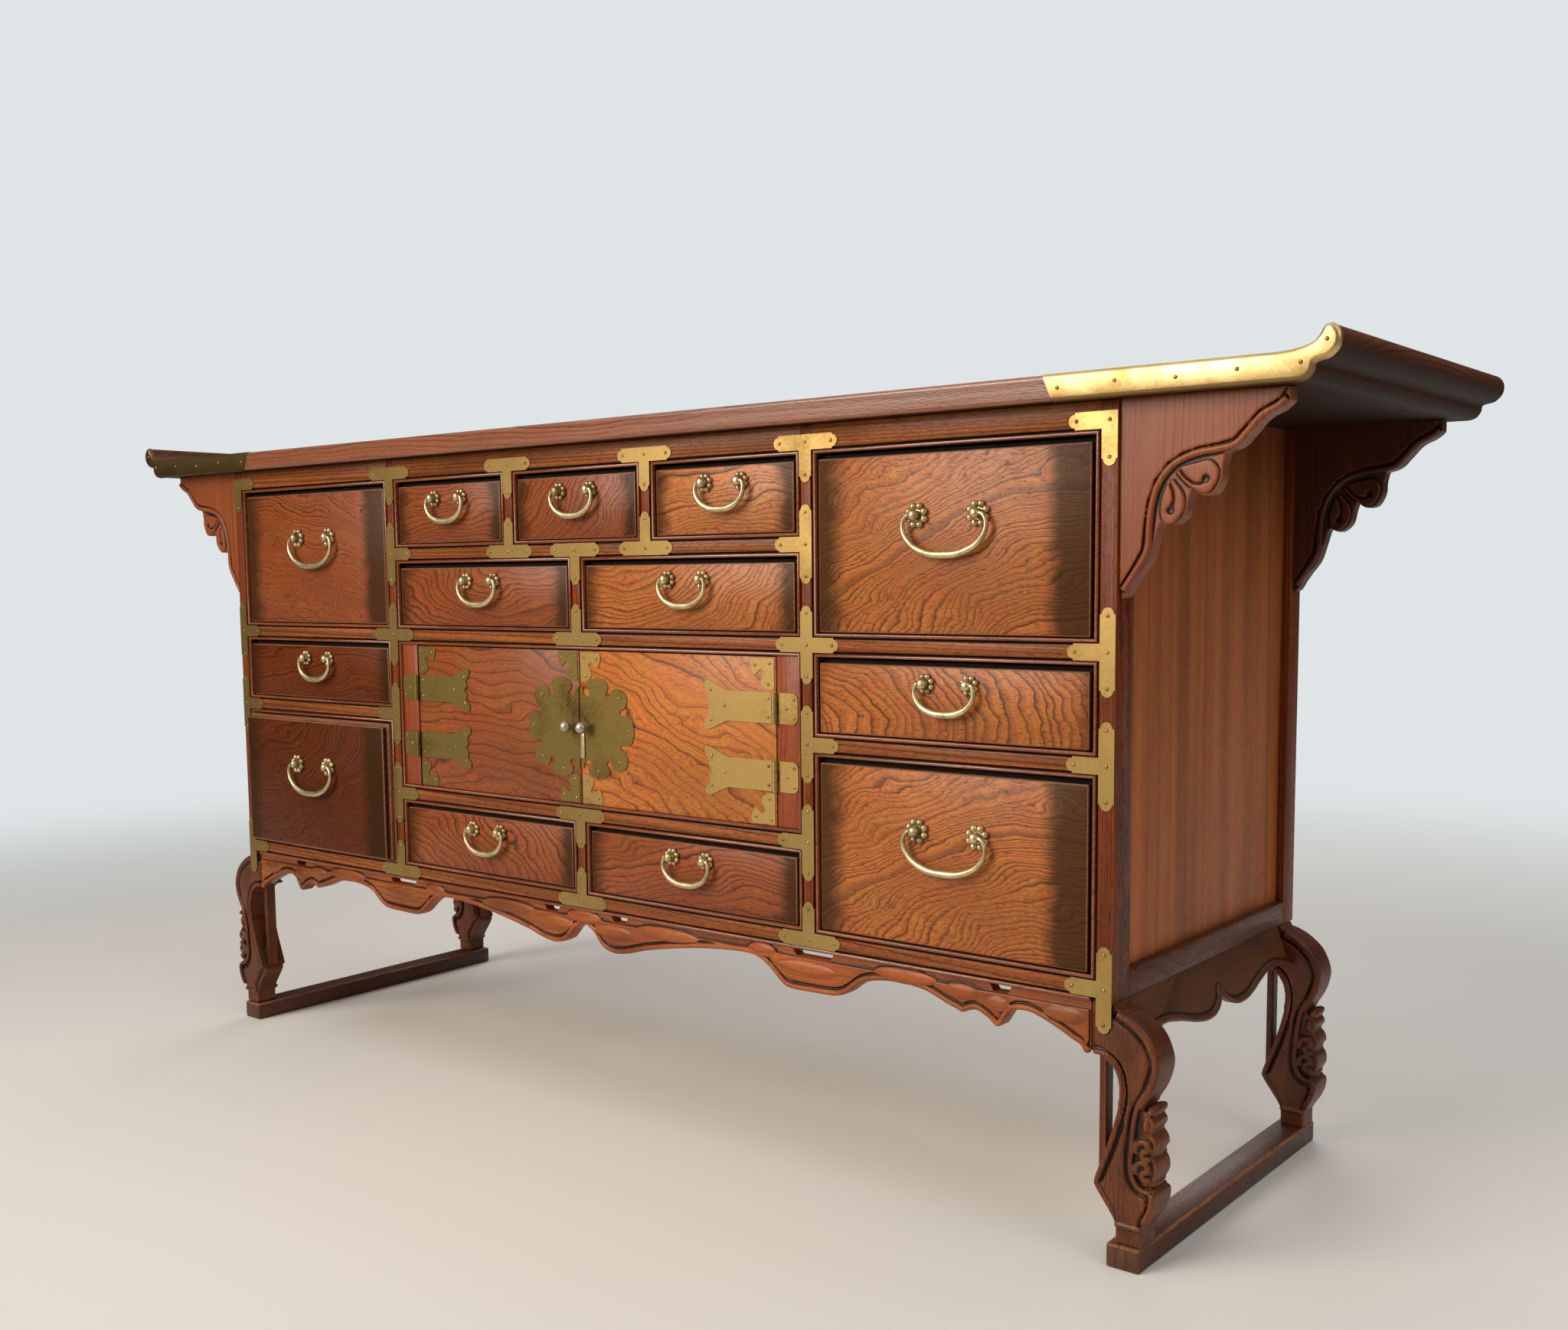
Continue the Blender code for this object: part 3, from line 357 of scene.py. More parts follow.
# Beads: a half-round moulding mitred round every opening, and one straight bead under the bottom rail.
# They are rubbed lighter on their crowns and stand a little proud of the strips.
BEAD_PROUD = 0.0007
BEAD_DEPTH = 0.008
BEAD_SHOULDER = 0.0012
half_turn = [math.radians(angle) for angle in range(0, 181, 30)]
bead_profile = [(0.0, BEAD_DEPTH)]
bead_profile += [(BEAD_WIDTH / 2 * (1 - math.cos(angle)),
                  BEAD_SHOULDER - (BEAD_SHOULDER + BEAD_PROUD) * math.sin(angle))
                 for angle in half_turn]
bead_profile.append((BEAD_WIDTH, BEAD_DEPTH))


def moulding_ring(name, left, right, low, high, profile):
    """A moulding mitred round an opening, extruded one step of its profile at a time."""
    centre = Vector(((left + right) / 2, front + profile[0][1], (low + high) / 2))
    bpy.ops.object.select_all(action="DESELECT")
    bpy.ops.mesh.primitive_plane_add(size=1.0, location=centre, rotation=(math.pi / 2, 0.0, 0.0))
    bpy.ops.transform.resize(value=(right - left, 1.0, high - low), center_override=centre)
    bpy.ops.object.transform_apply(location=True, rotation=True, scale=True)
    bpy.ops.object.mode_set(mode="EDIT")
    bpy.ops.mesh.delete(type="ONLY_FACE")
    bpy.ops.mesh.select_all(action="SELECT")
    width, height = right - left, high - low
    for (out, depth), (next_out, next_depth) in zip(profile, profile[1:] + profile[:1]):
        bpy.ops.mesh.extrude_edges_move(TRANSFORM_OT_translate={"value": (0.0, next_depth - depth, 0.0)})
        growth = ((width + 2 * next_out) / (width + 2 * out), 1.0,
                  (height + 2 * next_out) / (height + 2 * out))
        bpy.ops.transform.resize(value=growth, center_override=(centre.x, front + next_depth, centre.z))
    bpy.ops.mesh.select_all(action="SELECT")
    bpy.ops.mesh.remove_doubles(threshold=0.00002)
    bpy.ops.mesh.normals_make_consistent(inside=False)
    bpy.ops.object.mode_set(mode="OBJECT")
    piece = bpy.context.object
    piece.name = name
    return piece


drawer_names = sorted(name for name in nodes if name.endswith("_drawer"))
openings = []
for name in drawer_names:
    low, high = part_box(name)
    openings.append((low.x - DRAWER_SIDE_GAP, high.x + DRAWER_SIDE_GAP,
                     low.z - DRAWER_FOOT_GAP, high.z + DRAWER_HEAD_GAP))
door_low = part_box("left_door")[0]
door_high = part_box("right_door")[1]
door_bay = inner_post - INNER_POST_WIDTH / 2
openings.append((-door_bay, door_bay, door_low.z - DRAWER_FOOT_GAP, door_high.z + DOOR_GAP))
beads = [moulding_ring("bead", *opening, bead_profile) for opening in openings]
beads.append(board("bead", (-post_inner_edge, front - BEAD_PROUD, frame_low.z),
                   (post_inner_edge, front + BEAD_DEPTH, frame_low.z + BEAD_WIDTH), 0.0015))
bead_elm = lacquered_elm("rubbed_elm_beads", "X", "Z", "#7e3d19", "#4a200d", ring=0.006, faint=0.7,
                         gloss=0.22, sheen=0.6, coat=0.3)
fit(join("frame_beads", beads), bead_elm, "case", "red_brown_elm")

# Door stiles: the two fixed boards between the inner posts and the doors, red elm with upright grain.
# They carry the jamb leaves of the hinges.
stile_elm = lacquered_elm("red_elm_stiles", "Z", "X", "#8e401a", "#561f0b", ring=0.006,
                          heart=(0.0, 0.0, 0.15), faint=0.7)
STILE_WIDTH = 0.031
stile_face = door_low.y
stiles = []
for side in (-1, 1):
    stiles.append(board("stile", (side * (door_bay - STILE_WIDTH), stile_face - 0.0002, door_low.z),
                        (side * door_bay, stile_face + 0.01, door_high.z + DOOR_GAP)))
fit(join("door_stiles", stiles), stile_elm, "case", "red_brown_elm")

# Sides: a recessed panel with upright grain in a rear post and a foot rail, with drawer runners inside.
# The apron below them is sawn in lobes and leans outwards to meet the legs.
SIDE_INNER = half_width - 0.0215
PANEL_THICKNESS = 0.012
REAR_POST_DEPTH = 0.030
FOOT_RAIL_HEIGHT = 0.027
RUNNER_WIDTH = 0.017
RUNNER_THICKNESS = 0.010
SEAT_GAP = 0.0003
side_front = frame_high.y + SEAT_GAP
side_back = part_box("right_side")[1].y
side_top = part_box("right_side")[1].z
panel_elm = lacquered_elm("brown_elm_panel", "Z", "Y", "#a35c32", "#824a29", ring=0.021,
                          heart=(0.0, 0.3, 0.5), wander=0.004, sweep=0.7, streak=16.0, faint=0.97,
                          late=0.02, gloss=0.42, sheen=0.18, coat=0.0, blotch=0.26)
side_rail_elm = lacquered_elm("dark_brown_elm_rail", "Y", "Z", "#5c3019", "#26110a", ring=0.005, faint=0.7)
plain_elm = lacquered_elm("plain_pale_elm", "Y", "X", "#a77f52", "#7c5935", ring=0.009, faint=0.6,
                          gloss=0.6)
for name, side in SIDES:
    panel = board(f"{name}_side_panel", (side * SIDE_INNER, side_front, frame_low.z),
                  (side * (SIDE_INNER + PANEL_THICKNESS), side_back - REAR_POST_DEPTH, side_top))
    fit(panel, panel_elm, "case", "side_elm", f"{name}_side")
    rear_post = board(f"{name}_rear_post", (side * SIDE_INNER, side_back - REAR_POST_DEPTH, frame_low.z),
                      (side * half_width, side_back, side_top), 0.0012)
    fit(rear_post, post_elm, "case", "side_elm")
    foot_rail = board(f"{name}_side_rail", (side * SIDE_INNER, side_front, frame_low.z),
                      (side * half_width, side_back - REAR_POST_DEPTH, frame_low.z + FOOT_RAIL_HEIGHT),
                      0.0018)
    fit(foot_rail, side_rail_elm, "case", "side_elm")
    runners = []
    for level in (2, 3):
        z = rails[level] + RAIL_WIDTH / 2
        runners.append(board("runner", (side * (SIDE_INNER - RUNNER_WIDTH), side_front,
                                        z - RUNNER_THICKNESS),
                             (side * SIDE_INNER, side_back - REAR_POST_DEPTH, z)))
    fit(join(f"{name}_drawer_runners", runners), plain_elm, "case", "side_elm")

# Inside boards: bottom, partitions and shelves of pale secondary wood, left unstained.
# The back is one thin panel, stained brown and nailed to the posts.
def stain_solid(node, material):
    """Give a solid that stays in view its finish."""
    nodes[node].data.materials.clear()
    nodes[node].data.materials.append(material)


for name in ("bottom_board", "left_partition", "right_partition", "small_drawer_shelf", "cupboard_ceiling",
             "cupboard_floor"):
    stain_solid(name, plain_elm)
back_elm = lacquered_elm("brown_stained_back", "X", "Z", "#6d4427", "#432615", ring=0.017,
                         heart=(0.2, 0.1, 0.05), tilt=0.14, wander=0.03, sweep=0.5, faint=0.86, gloss=0.55)
stain_solid("back_panel", back_elm)

# Top: one thick board of dark elm, its ends worked up into a round nose over a stepped edge.
# The front and back edges are rounded over.
EDGE_ROUND = 0.004
ROUND_STEPS = 5
top_low, top_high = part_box("top_board")


def outline_of(node):
    """A board's sawn outline in X and Z, as a closed walk round the front face of its solid."""
    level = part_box(node)[0].y
    mesh = nodes[node].data
    edges = set()
    for polygon in mesh.polygons:
        corners = [nodes[node].matrix_world @ mesh.vertices[index].co for index in polygon.vertices]
        if max(abs(corner.y - level) for corner in corners) > TOUCH:
            continue
        places = [(round(corner.x, 5), round(corner.z, 5)) for corner in corners]
        for start, end in zip(places, places[1:] + places[:1]):
            if (end, start) in edges:
                edges.remove((end, start))
            else:
                edges.add((start, end))
    after = dict(edges)
    walk = [min(after)]
    while after[walk[-1]] != walk[0]:
        walk.append(after[walk[-1]])
    return walk


def curved(points, steps=4):
    """A smooth line through points, as a run of short steps."""
    line = []
    padded = points[:1] + points + points[-1:]
    for before, start, end, after in zip(padded, padded[1:], padded[2:], padded[3:]):
        for step in range(steps):
            t = step / steps
            line.append(tuple(
                b + 0.5 * t * (c - a + t * (2 * a - 5 * b + 4 * c - d + t * (3 * b - a - 3 * c + d)))
                for a, b, c, d in zip(before, start, end, after)))
    return line + points[-1:]


def sawn_board(name, outline, near, far):
    """An outline in X and Z, filled and extruded from one depth in Y to another."""
    curve = bpy.data.curves.new(name, "CURVE")
    curve.dimensions = "3D"
    spline = curve.splines.new("POLY")
    spline.points.add(len(outline) - 1)
    for point, (x, z) in zip(spline.points, outline):
        point.co = (x, near, z, 1.0)
    spline.use_cyclic_u = True
    piece = bpy.data.objects.new(name, curve)
    bpy.context.scene.collection.objects.link(piece)
    select_only(piece)
    bpy.ops.object.convert(target="MESH")
    bpy.ops.object.mode_set(mode="EDIT")
    bpy.ops.mesh.select_all(action="SELECT")
    bpy.ops.mesh.edge_face_add()
    bpy.ops.mesh.extrude_region_move(TRANSFORM_OT_translate={"value": (0.0, far - near, 0.0)})
    bpy.ops.mesh.select_all(action="SELECT")
    bpy.ops.mesh.normals_make_consistent(inside=False)
    bpy.ops.object.mode_set(mode="OBJECT")
    return bpy.context.object


def round_over(piece, radius, steps):
    """Round a sawn board's front and back edges by a run of small insets."""
    select_only(piece)
    for facing in (-1, 1):
        for edge in piece.data.edges:
            edge.select = False
        for vertex in piece.data.vertices:
            vertex.select = False
        for polygon in piece.data.polygons:
            polygon.select = facing * polygon.normal.y > 0.99
        bpy.ops.object.mode_set(mode="EDIT")
        bpy.ops.mesh.select_mode(type="FACE")
        angles = [math.pi / 2 * step / steps for step in range(steps + 1)]
        for angle, next_angle in zip(angles, angles[1:]):
            bpy.ops.mesh.inset(thickness=radius * (math.cos(angle) - math.cos(next_angle)),
                               depth=radius * (math.sin(next_angle) - math.sin(angle)),
                               use_even_offset=True)
        bpy.ops.object.mode_set(mode="OBJECT")
    return piece


# Its undersides darken as painted shade, the more they look down.
top_elm = lacquered_elm("dark_red_brown_elm_top", "X", "Y", "#673317", "#2b1208", ring=0.007,
                        heart=(0.3, 0.05, 0.10), tilt=0.06, wander=0.015, sweep=0.5, faint=0.6, gloss=0.52,
                        sheen=0.16, coat=0.0, under="#2c170d")
# Distance in from the tip and height above the underside, from the lower lip round the nose to the flat.
nose_profile = curved([
    (44.0, 0.0), (34.3, 0.0), (27.0, 2.4), (22.4, 8.6), (21.2, 14.2), (16.6, 16.1), (8.4, 18.2),
    (1.2, 26.0),
    (0.4, 36.5), (6.2, 44.0), (12.8, 43.4), (16.8, 36.8), (23.4, 30.6), (37.0, 26.4), (53.0, 25.0),
    (65.0, 25.0)], 3)
right_end = [(top_high.x - inset / 1000, top_low.z + height / 1000) for inset, height in nose_profile]
top_walk = right_end + [(-x, z) for x, z in reversed(right_end)]
top = sawn_board("top_with_noses", top_walk, top_low.y + EDGE_ROUND, top_high.y - EDGE_ROUND)
round_over(top, EDGE_ROUND, ROUND_STEPS)
fit(top, top_elm, "case", "dark_elm", "top_board")
# The faces that look forward take a lighter elm with more gloss: the lighter colour is a painted highlight
# along the front edge.
front_edge_highlight = lacquered_elm("front_edge_elm_painted_highlight", "X", "Z", "#8d5338", "#4a2415", ring=0.006,
                            faint=0.8, gloss=0.24, sheen=0.6, coat=0.3)
top.data.materials.append(front_edge_highlight)
for polygon in top.data.polygons:
    polygon.material_index = 1 if polygon.normal.y < -0.25 else 0

# Brackets: four carved boards in the angles of the posts and the overhanging top.
# A plain field stops at a round rim, and two comma-shaped leaves with sunk eyes hang below it.
CARVE_GRAIN = 0.0011         # finest mark left by the carver
FIELD_DEPTH = 0.0035
RIM_RADIUS = 0.0034


def round_line(name, points, radius, y, closed=False, ends=1.0):
    """A round moulding bent along points in X and Z at one depth, its ends drawn out thinner."""
    curve = bpy.data.curves.new(name, "CURVE")
    curve.dimensions = "3D"
    curve.bevel_depth = radius
    curve.bevel_resolution = 3
    curve.resolution_u = 6
    curve.use_fill_caps = True
    spline = curve.splines.new("BEZIER")
    spline.bezier_points.add(len(points) - 1)
    for point, (x, z) in zip(spline.bezier_points, points):
        point.co = (x, y, z)
        point.handle_left_type = "AUTO"
        point.handle_right_type = "AUTO"
    spline.use_cyclic_u = closed
    spline.bezier_points[0].radius = ends
    spline.bezier_points[-1].radius = ends
    piece = bpy.data.objects.new(name, curve)
    bpy.context.scene.collection.objects.link(piece)
    select_only(piece)
    bpy.ops.object.convert(target="MESH")
    return bpy.context.object


def lump(name, centre, radii):
    """A swelling of wood, round in every direction but longer in some."""
    bpy.ops.object.select_all(action="DESELECT")
    bpy.ops.mesh.primitive_uv_sphere_add(segments=24, ring_count=14, radius=1.0, location=centre)
    bpy.ops.transform.resize(value=radii, center_override=centre)
    bpy.ops.object.transform_apply(location=True, rotation=True, scale=True)
    piece = bpy.context.object
    piece.name = name
    return piece


def carve(name, parts, keep, mark=CARVE_GRAIN):
    """Work parts into one carved surface, and note how hollow or how proud every place on it is."""
    piece = join(name, parts)
    rough = piece.modifiers.new("rough", "REMESH")
    rough.mode = "VOXEL"
    rough.voxel_size = mark
    sand = piece.modifiers.new("sand", "SMOOTH")
    sand.factor = 0.5
    sand.iterations = 3
    thin = piece.modifiers.new("thin", "DECIMATE")
    thin.ratio = keep
    for step in ("rough", "sand", "thin"):
        bpy.ops.object.modifier_apply(modifier=step)
    mesh = piece.data
    count = len(mesh.vertices)
    places = np.empty(3 * count)
    mesh.vertices.foreach_get("co", places)
    normals = np.empty(3 * count)
    mesh.vertices.foreach_get("normal", normals)
    ends = np.empty(2 * len(mesh.edges), dtype=np.int64)
    mesh.edges.foreach_get("vertices", ends)
    places, normals = places.reshape(-1, 3), normals.reshape(-1, 3)
    one, other = ends.reshape(-1, 2).T
    reach = places[other] - places[one]
    length = np.maximum(np.linalg.norm(reach, axis=1), 1e-6)
    rise_one = (reach * normals[one]).sum(axis=1) / length
    rise_other = -(reach * normals[other]).sum(axis=1) / length
    touching = np.bincount(one, minlength=count) + np.bincount(other, minlength=count)
    hollow = np.bincount(one, rise_one, count) + np.bincount(other, rise_other, count)
    hollow /= np.maximum(touching, 1)
    for _ in range(4):
        spread = np.bincount(one, hollow[other], count) + np.bincount(other, hollow[one], count)
        hollow = 0.5 * hollow + 0.5 * spread / np.maximum(touching, 1)
    note = mesh.attributes.new("relief", "FLOAT", "POINT")
    note.data.foreach_set("value", np.clip(0.5 + 1.6 * CARVE_GRAIN / mark * hollow, 0.0,
                                           1.0).astype(np.float32))
    return piece


def mirrored_copy(piece, name, flip_x, flip_y, middle_y):
    """A copy of a carved piece for another corner, turned over in X, in Y, or in both."""
    copy = bpy.data.objects.new(name, piece.data.copy())
    bpy.context.scene.collection.objects.link(copy)
    flip = Matrix.Diagonal((-1.0 if flip_x else 1.0, -1.0 if flip_y else 1.0, 1.0, 1.0))
    shift = Matrix.Translation((0.0, 2 * middle_y if flip_y else 0.0, 0.0))
    copy.data.transform(shift @ flip)
    if flip_x != flip_y:
        copy.data.flip_normals()
    return copy


def millimetres(points, origin):
    """Points in millimetres from a corner, as places in the frame."""
    return [(origin[0] + x / 1000, origin[1] + z / 1000) for x, z in points]


def drawn_in(walk, distance):
    """A closed walk moved inwards by a distance, corner by corner."""
    area = sum(a[0] * b[1] - b[0] * a[1] for a, b in zip(walk, walk[1:] + walk[:1]))
    moved = []
    for before, place, after in zip(walk[-1:] + walk[:-1], walk, walk[1:] + walk[:1]):
        along = Vector((after[0] - before[0], after[1] - before[1])).normalized()
        turn = math.copysign(distance, area)
        moved.append((place[0] - along.y * turn, place[1] + along.x * turn))
    return moved


case_middle = (front + side_back) / 2
bracket_low, bracket_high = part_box("right_front_spandrel")
bracket_corner = (bracket_low.x, bracket_high.z)
bracket_rim = millimetres([(3.5, -174), (16, -156), (26.5, -138), (28.7, -115), (31.5, -95), (38, -77),
                           (49.5, -63),
                           (62, -56), (77, -51.7), (94.5, -49.6), (109.5, -46), (119.5, -36.5),
                           (133, -22.7), (147, -15.8), (154, -10)], bracket_corner)
LEAF_SLIT = 0.0011           # half the width of the cut that parts a leaf's curl
LEAF_EYE = 0.0036
LEAF_EDGE = 0.0012


def comma_leaf(edge, slit, eye):
    """Outline of a flat leaf that curls round a drilled eye: its edge, then the slit to the eye and back."""
    inner, outer = [], []
    for before, place, after in zip(slit[:1] + slit[:-1], slit, slit[1:] + slit[-1:]):
        along = (Vector(after) - Vector(before)).normalized()
        aside = LEAF_SLIT * Vector((-along.y, along.x))
        outer.append(tuple(Vector(place) + aside))
        inner.append(tuple(Vector(place) - aside))
    enter = math.atan2(slit[-1][1] - eye[1], slit[-1][0] - eye[0])
    turns = [enter + math.radians(turn) for turn in range(30, 331, 30)]
    round_eye = [(eye[0] + LEAF_EYE * math.cos(turn), eye[1] + LEAF_EYE * math.sin(turn)) for turn in turns]
    return edge + inner + round_eye + outer[::-1]


upper_edge = millimetres(curved([
    (59, -63.8), (73.8, -60.8), (87, -59.8), (94, -72), (83.5, -88.2), (65.4, -80.4), (54.2, -68.6)]),
    bracket_corner)
upper_slit = millimetres([(56.9, -66), (62.8, -73.3), (70.4, -79), (77.5, -79.6), (82.2, -75.4)],
                         bracket_corner)
lower_edge = millimetres(curved([
    (50.8, -74.6), (61, -88.5), (60.8, -103.5), (50, -114.8), (40.4, -110), (39.8, -94), (44.6, -80.4)]),
    bracket_corner)
lower_slit = millimetres([(47.4, -77.5), (51.1, -84.6), (52.3, -92.8), (49.2, -102.4)], bracket_corner)
FIELD_GROOVE = 0.0052        # from the middle of the rim to the edge of the field
left_of = bracket_corner[0] - FIELD_GROOVE
above = bracket_corner[1] + FIELD_GROOVE
bracket_field = [(left_of, above), (bracket_rim[-1][0], above)] + bracket_rim[::-1]
bracket_field.append((left_of, bracket_rim[0][1]))
bracket_middle = (bracket_low.y + bracket_high.y) / 2
blank = copy_solid("right_front_spandrel", "blank")
blank_share = 1 - 2 * FIELD_DEPTH / (bracket_high.y - bracket_low.y)
blank.data.transform(Matrix.Translation((0, bracket_middle, 0)) @ Matrix.Diagonal((1, blank_share, 1, 1))
                     @ Matrix.Translation((0, -bracket_middle, 0)))
bracket_parts = [blank, sawn_board("field", drawn_in(bracket_field, FIELD_GROOVE), bracket_low.y + 0.0004,
                                   bracket_high.y - 0.0004)]
for edge, slit in ((upper_edge, upper_slit), (lower_edge, lower_slit)):
    leaf = sawn_board("leaf", comma_leaf(edge, slit[:-1], slit[-1]), bracket_low.y + 0.0010 + LEAF_EDGE,
                      bracket_high.y - 0.0010 - LEAF_EDGE)
    bracket_parts.append(round_over(leaf, LEAF_EDGE, 3))
for y in (bracket_low.y + 0.0026, bracket_high.y - 0.0026):
    bracket_parts.append(round_line("rim", bracket_rim, RIM_RADIUS, y))
carved_elm = lacquered_elm("carved_dark_elm", "Z", "X", "#8c4723", "#5a2a14", ring=0.006,
                           heart=(0.0, 0.0, 0.2), wander=0.008, faint=0.99, late=0.0, pore=0.25,
                           relief=True)
# The rear brackets take a darker copy of the carved elm: painted shade, as they stand in shadow under the
# top.
shaded_rear_carved_elm = lacquered_elm("shaded_carved_elm", "Z", "X", "#4c2412", "#2a1209", ring=0.006,
                                heart=(0.0, 0.0, 0.2), wander=0.008, faint=0.99, late=0.0, pore=0.25,
                                relief=True)
bracket = carve("right_front_bracket", bracket_parts, 0.35, 0.0008)
OTHER_CORNERS = (("left_front", True, False), ("right_rear", False, True), ("left_rear", True, True))
for corner, flip_x, flip_y in OTHER_CORNERS:
    finish = shaded_rear_carved_elm if flip_y else carved_elm
    copy = mirrored_copy(bracket, f"{corner}_bracket", flip_x, flip_y, case_middle)
    fit(copy, finish, "case", "dark_elm", f"{corner}_spandrel")
fit(bracket, carved_elm, "case", "dark_elm", "right_front_spandrel")

# Legs: four cabriole boards with a round rim down both edges and a leafy scroll above the foot.
# The inner edge ends in a pointed spur, and a thin strut runs behind it.
OUTER_RIM = 0.0044
INNER_RIM = 0.0030
STEM_RADIUS = 0.0026
CURL_RADIUS = 0.0031
LEG_FIELD_DEPTH = 0.0046
leg_low, leg_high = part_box("right_front_leg")
leg_walk = outline_of("right_front_leg")
leg_middle = (leg_low.y + leg_high.y) / 2


def stretch(walk, start, end):
    """The shorter run of a closed walk between the places nearest to two points."""
    first, last = (min(range(len(walk)), key=lambda index: math.dist(walk[index], point))
                   for point in (start, end))
    doubled = walk + walk
    forward = doubled[first:last + 1] if last >= first else doubled[first:last + 1 + len(walk)]
    backward = doubled[last:first + 1] if first >= last else doubled[last:first + 1 + len(walk)]

    def run(points):
        return sum(math.dist(a, b) for a, b in zip(points, points[1:]))
    return forward if run(forward) <= run(backward) else backward


inner_line = drawn_in(leg_walk, INNER_RIM)
outer_line = drawn_in(leg_walk, 0.0042)
leg_blank = copy_solid("right_front_leg", "blank")
leg_share = 1 - 2 * LEG_FIELD_DEPTH / (leg_high.y - leg_low.y)
leg_blank.data.transform(Matrix.Translation((0, leg_middle, 0)) @ Matrix.Diagonal((1, leg_share, 1, 1))
                         @ Matrix.Translation((0, -leg_middle, 0)))
outer_rim = stretch(outer_line, (0.7150, 0.250), (0.7390, 0.162))
inner_rim = stretch(inner_line, (0.6900, 0.209), (0.6935, 0.083))
foot_rim = stretch(inner_line, (0.7535, 0.084), (0.7440, 0.050))
stem = millimetres([(744.0, 176), (738.6, 165), (735.4, 153), (733.6, 140), (732.5, 120), (731.5, 106),
                    (734.5, 92), (743.5, 83), (751.5, 82.5)], (0, 0))
field_outside = curved([
    (711, 244.5), (729, 235.5), (744.5, 220), (748.8, 205), (743, 183), (732.3, 160), (727.5, 135),
    (725, 105), (728.5, 87), (737, 77.8), (746, 75), (747, 66), (740, 52)])
field_inside = curved([(702.7, 85.2), (714.7, 116), (724.8, 149.2), (728.7, 175), (722.5, 200.8),
                       (706.4, 214.4), (691.5, 216.2)])
leg_field = millimetres([(691.5, 246)] + field_outside + [(739, 45), (718, 45), (715, 57.5),
                                                          (700.5, 78.5), (700, 81.5)]
                        + field_inside, (0, 0))
field = sawn_board("field", leg_field, leg_low.y + 0.0040, leg_high.y - 0.0040)
round_over(field, 0.0030, 3)
leg_parts = [leg_blank, field]
curl = [(737.0, 11.5), (737.8, 19.0), (742.6, 23.6), (748.4, 21.6), (748.6, 16.4), (744.0, 13.4),
        (744.6, 8.8), (748.6, 7.2), (751.4, 8.4)]
curls = [[(x, z + level) for x, z in curl] for level in (107.0, 86.5)]
for y in (leg_low.y + OUTER_RIM, leg_high.y - OUTER_RIM):
    leg_parts.append(round_line("rim", outer_rim, OUTER_RIM, y))
for y in (leg_low.y + 0.0020, leg_high.y - 0.0020):
    leg_parts.append(round_line("rim", inner_rim, INNER_RIM, y, ends=0.8))
    leg_parts.append(round_line("rim", foot_rim, INNER_RIM, y, ends=0.6))
    leg_parts.append(round_line("stem", stem, STEM_RADIUS, y, ends=0.8))
    for curl in curls:
        leg_parts.append(round_line("curl", millimetres(curl, (0, 0)), CURL_RADIUS, y, ends=0.7))
for x, z, wide, tall in ((0.7500, 0.1600, 0.0056, 0.0054), (0.7460, 0.1455, 0.0056, 0.0120),
                         (0.7458, 0.1235, 0.0112, 0.0108), (0.7462, 0.1025, 0.0114, 0.0108),
                         (0.7470, 0.0900, 0.0090, 0.0050)):
    leg_parts.append(lump("leaf", (x, leg_middle, z), (wide, 0.0196, tall)))
for y in (leg_low.y + 0.0022, leg_high.y - 0.0022):
    leg_parts.append(round_line("ankle", [(0.7160, 0.0440), (0.7280, 0.0435), (0.7415, 0.0440)], 0.0028, y))
leg_elm = lacquered_elm("carved_leg_elm", "Z", "X", "#64300f", "#2f1509", ring=0.005, heart=(0.0, 0.0, 0.2),
                        wander=0.006, sweep=0.10, streak=3.0, faint=0.96, late=0.03, pore=0.75, blotch=0.45,
                        relief=True)
leg = carve("right_front_carved_leg", leg_parts, 0.35)
for corner, flip_x, flip_y in OTHER_CORNERS:
    copy = mirrored_copy(leg, f"{corner}_carved_leg", flip_x, flip_y, case_middle)
    fit(copy, leg_elm, "case", "dark_elm", f"{corner}_leg")
fit(leg, leg_elm, "case", "dark_elm", "right_front_leg")

# Front apron: one long board under the bottom rail, sawn in lobes, with a rim along its lower edge.
# Low swellings on the lobes are left from the gouge, and slits of openwork part it from the rail.
apron_low, apron_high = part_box("front_apron")
apron_walk = outline_of("front_apron")
apron_line = drawn_in(apron_walk, 0.0034)
apron_blank = copy_solid("front_apron", "blank")
for vertex in apron_blank.data.vertices:
    if vertex.co.y < apron_low.y + TOUCH:
        vertex.co.y += 0.0038
lower_edge = [place for place in apron_line if place[1] < apron_high.z - 0.0115]
lower_edge.sort()
apron_top = apron_high.z - 0.0090
apron_field = [(x, min(z + 0.0064, apron_top - 0.0008)) for x, z in lower_edge]
apron_field += [(lower_edge[-1][0], apron_top), (lower_edge[0][0], apron_top)]
apron_parts = [apron_blank, round_line("rim", lower_edge, 0.0032, apron_low.y + 0.0026),
               sawn_board("field", apron_field, apron_low.y + 0.0008, apron_low.y + 0.0060)]
half_apron = apron_high.x
for share, length, drop in ((0.0, 0.030, 0.0075), (0.075, 0.035, 0.020), (0.20, 0.050, 0.011),
                            (0.50, 0.046, 0.021),
                            (0.41, 0.020, 0.008), (0.69, 0.040, 0.009), (0.79, 0.022, 0.014),
                            (0.85, 0.016, 0.020), (0.96, 0.024, 0.018)):
    for side in (-1, 1):
        apron_parts.append(lump("swelling", (side * share * half_apron, apron_low.y + 0.0020,
                                             apron_high.z - drop),
                                (length, 0.0036, 0.0085)))
apron_elm = lacquered_elm("carved_apron_elm", "X", "Z", "#904818", "#3c1a0b", ring=0.006,
                          heart=(0.0, 0.0, 0.2), wander=0.004, sweep=0.13, streak=4.0, faint=0.9,
                          late=0.03, pore=0.4, blotch=0.42, relief=True)
fit(carve("carved_front_apron", apron_parts, 0.25, 0.0008), apron_elm, "case", "dark_elm", "front_apron")

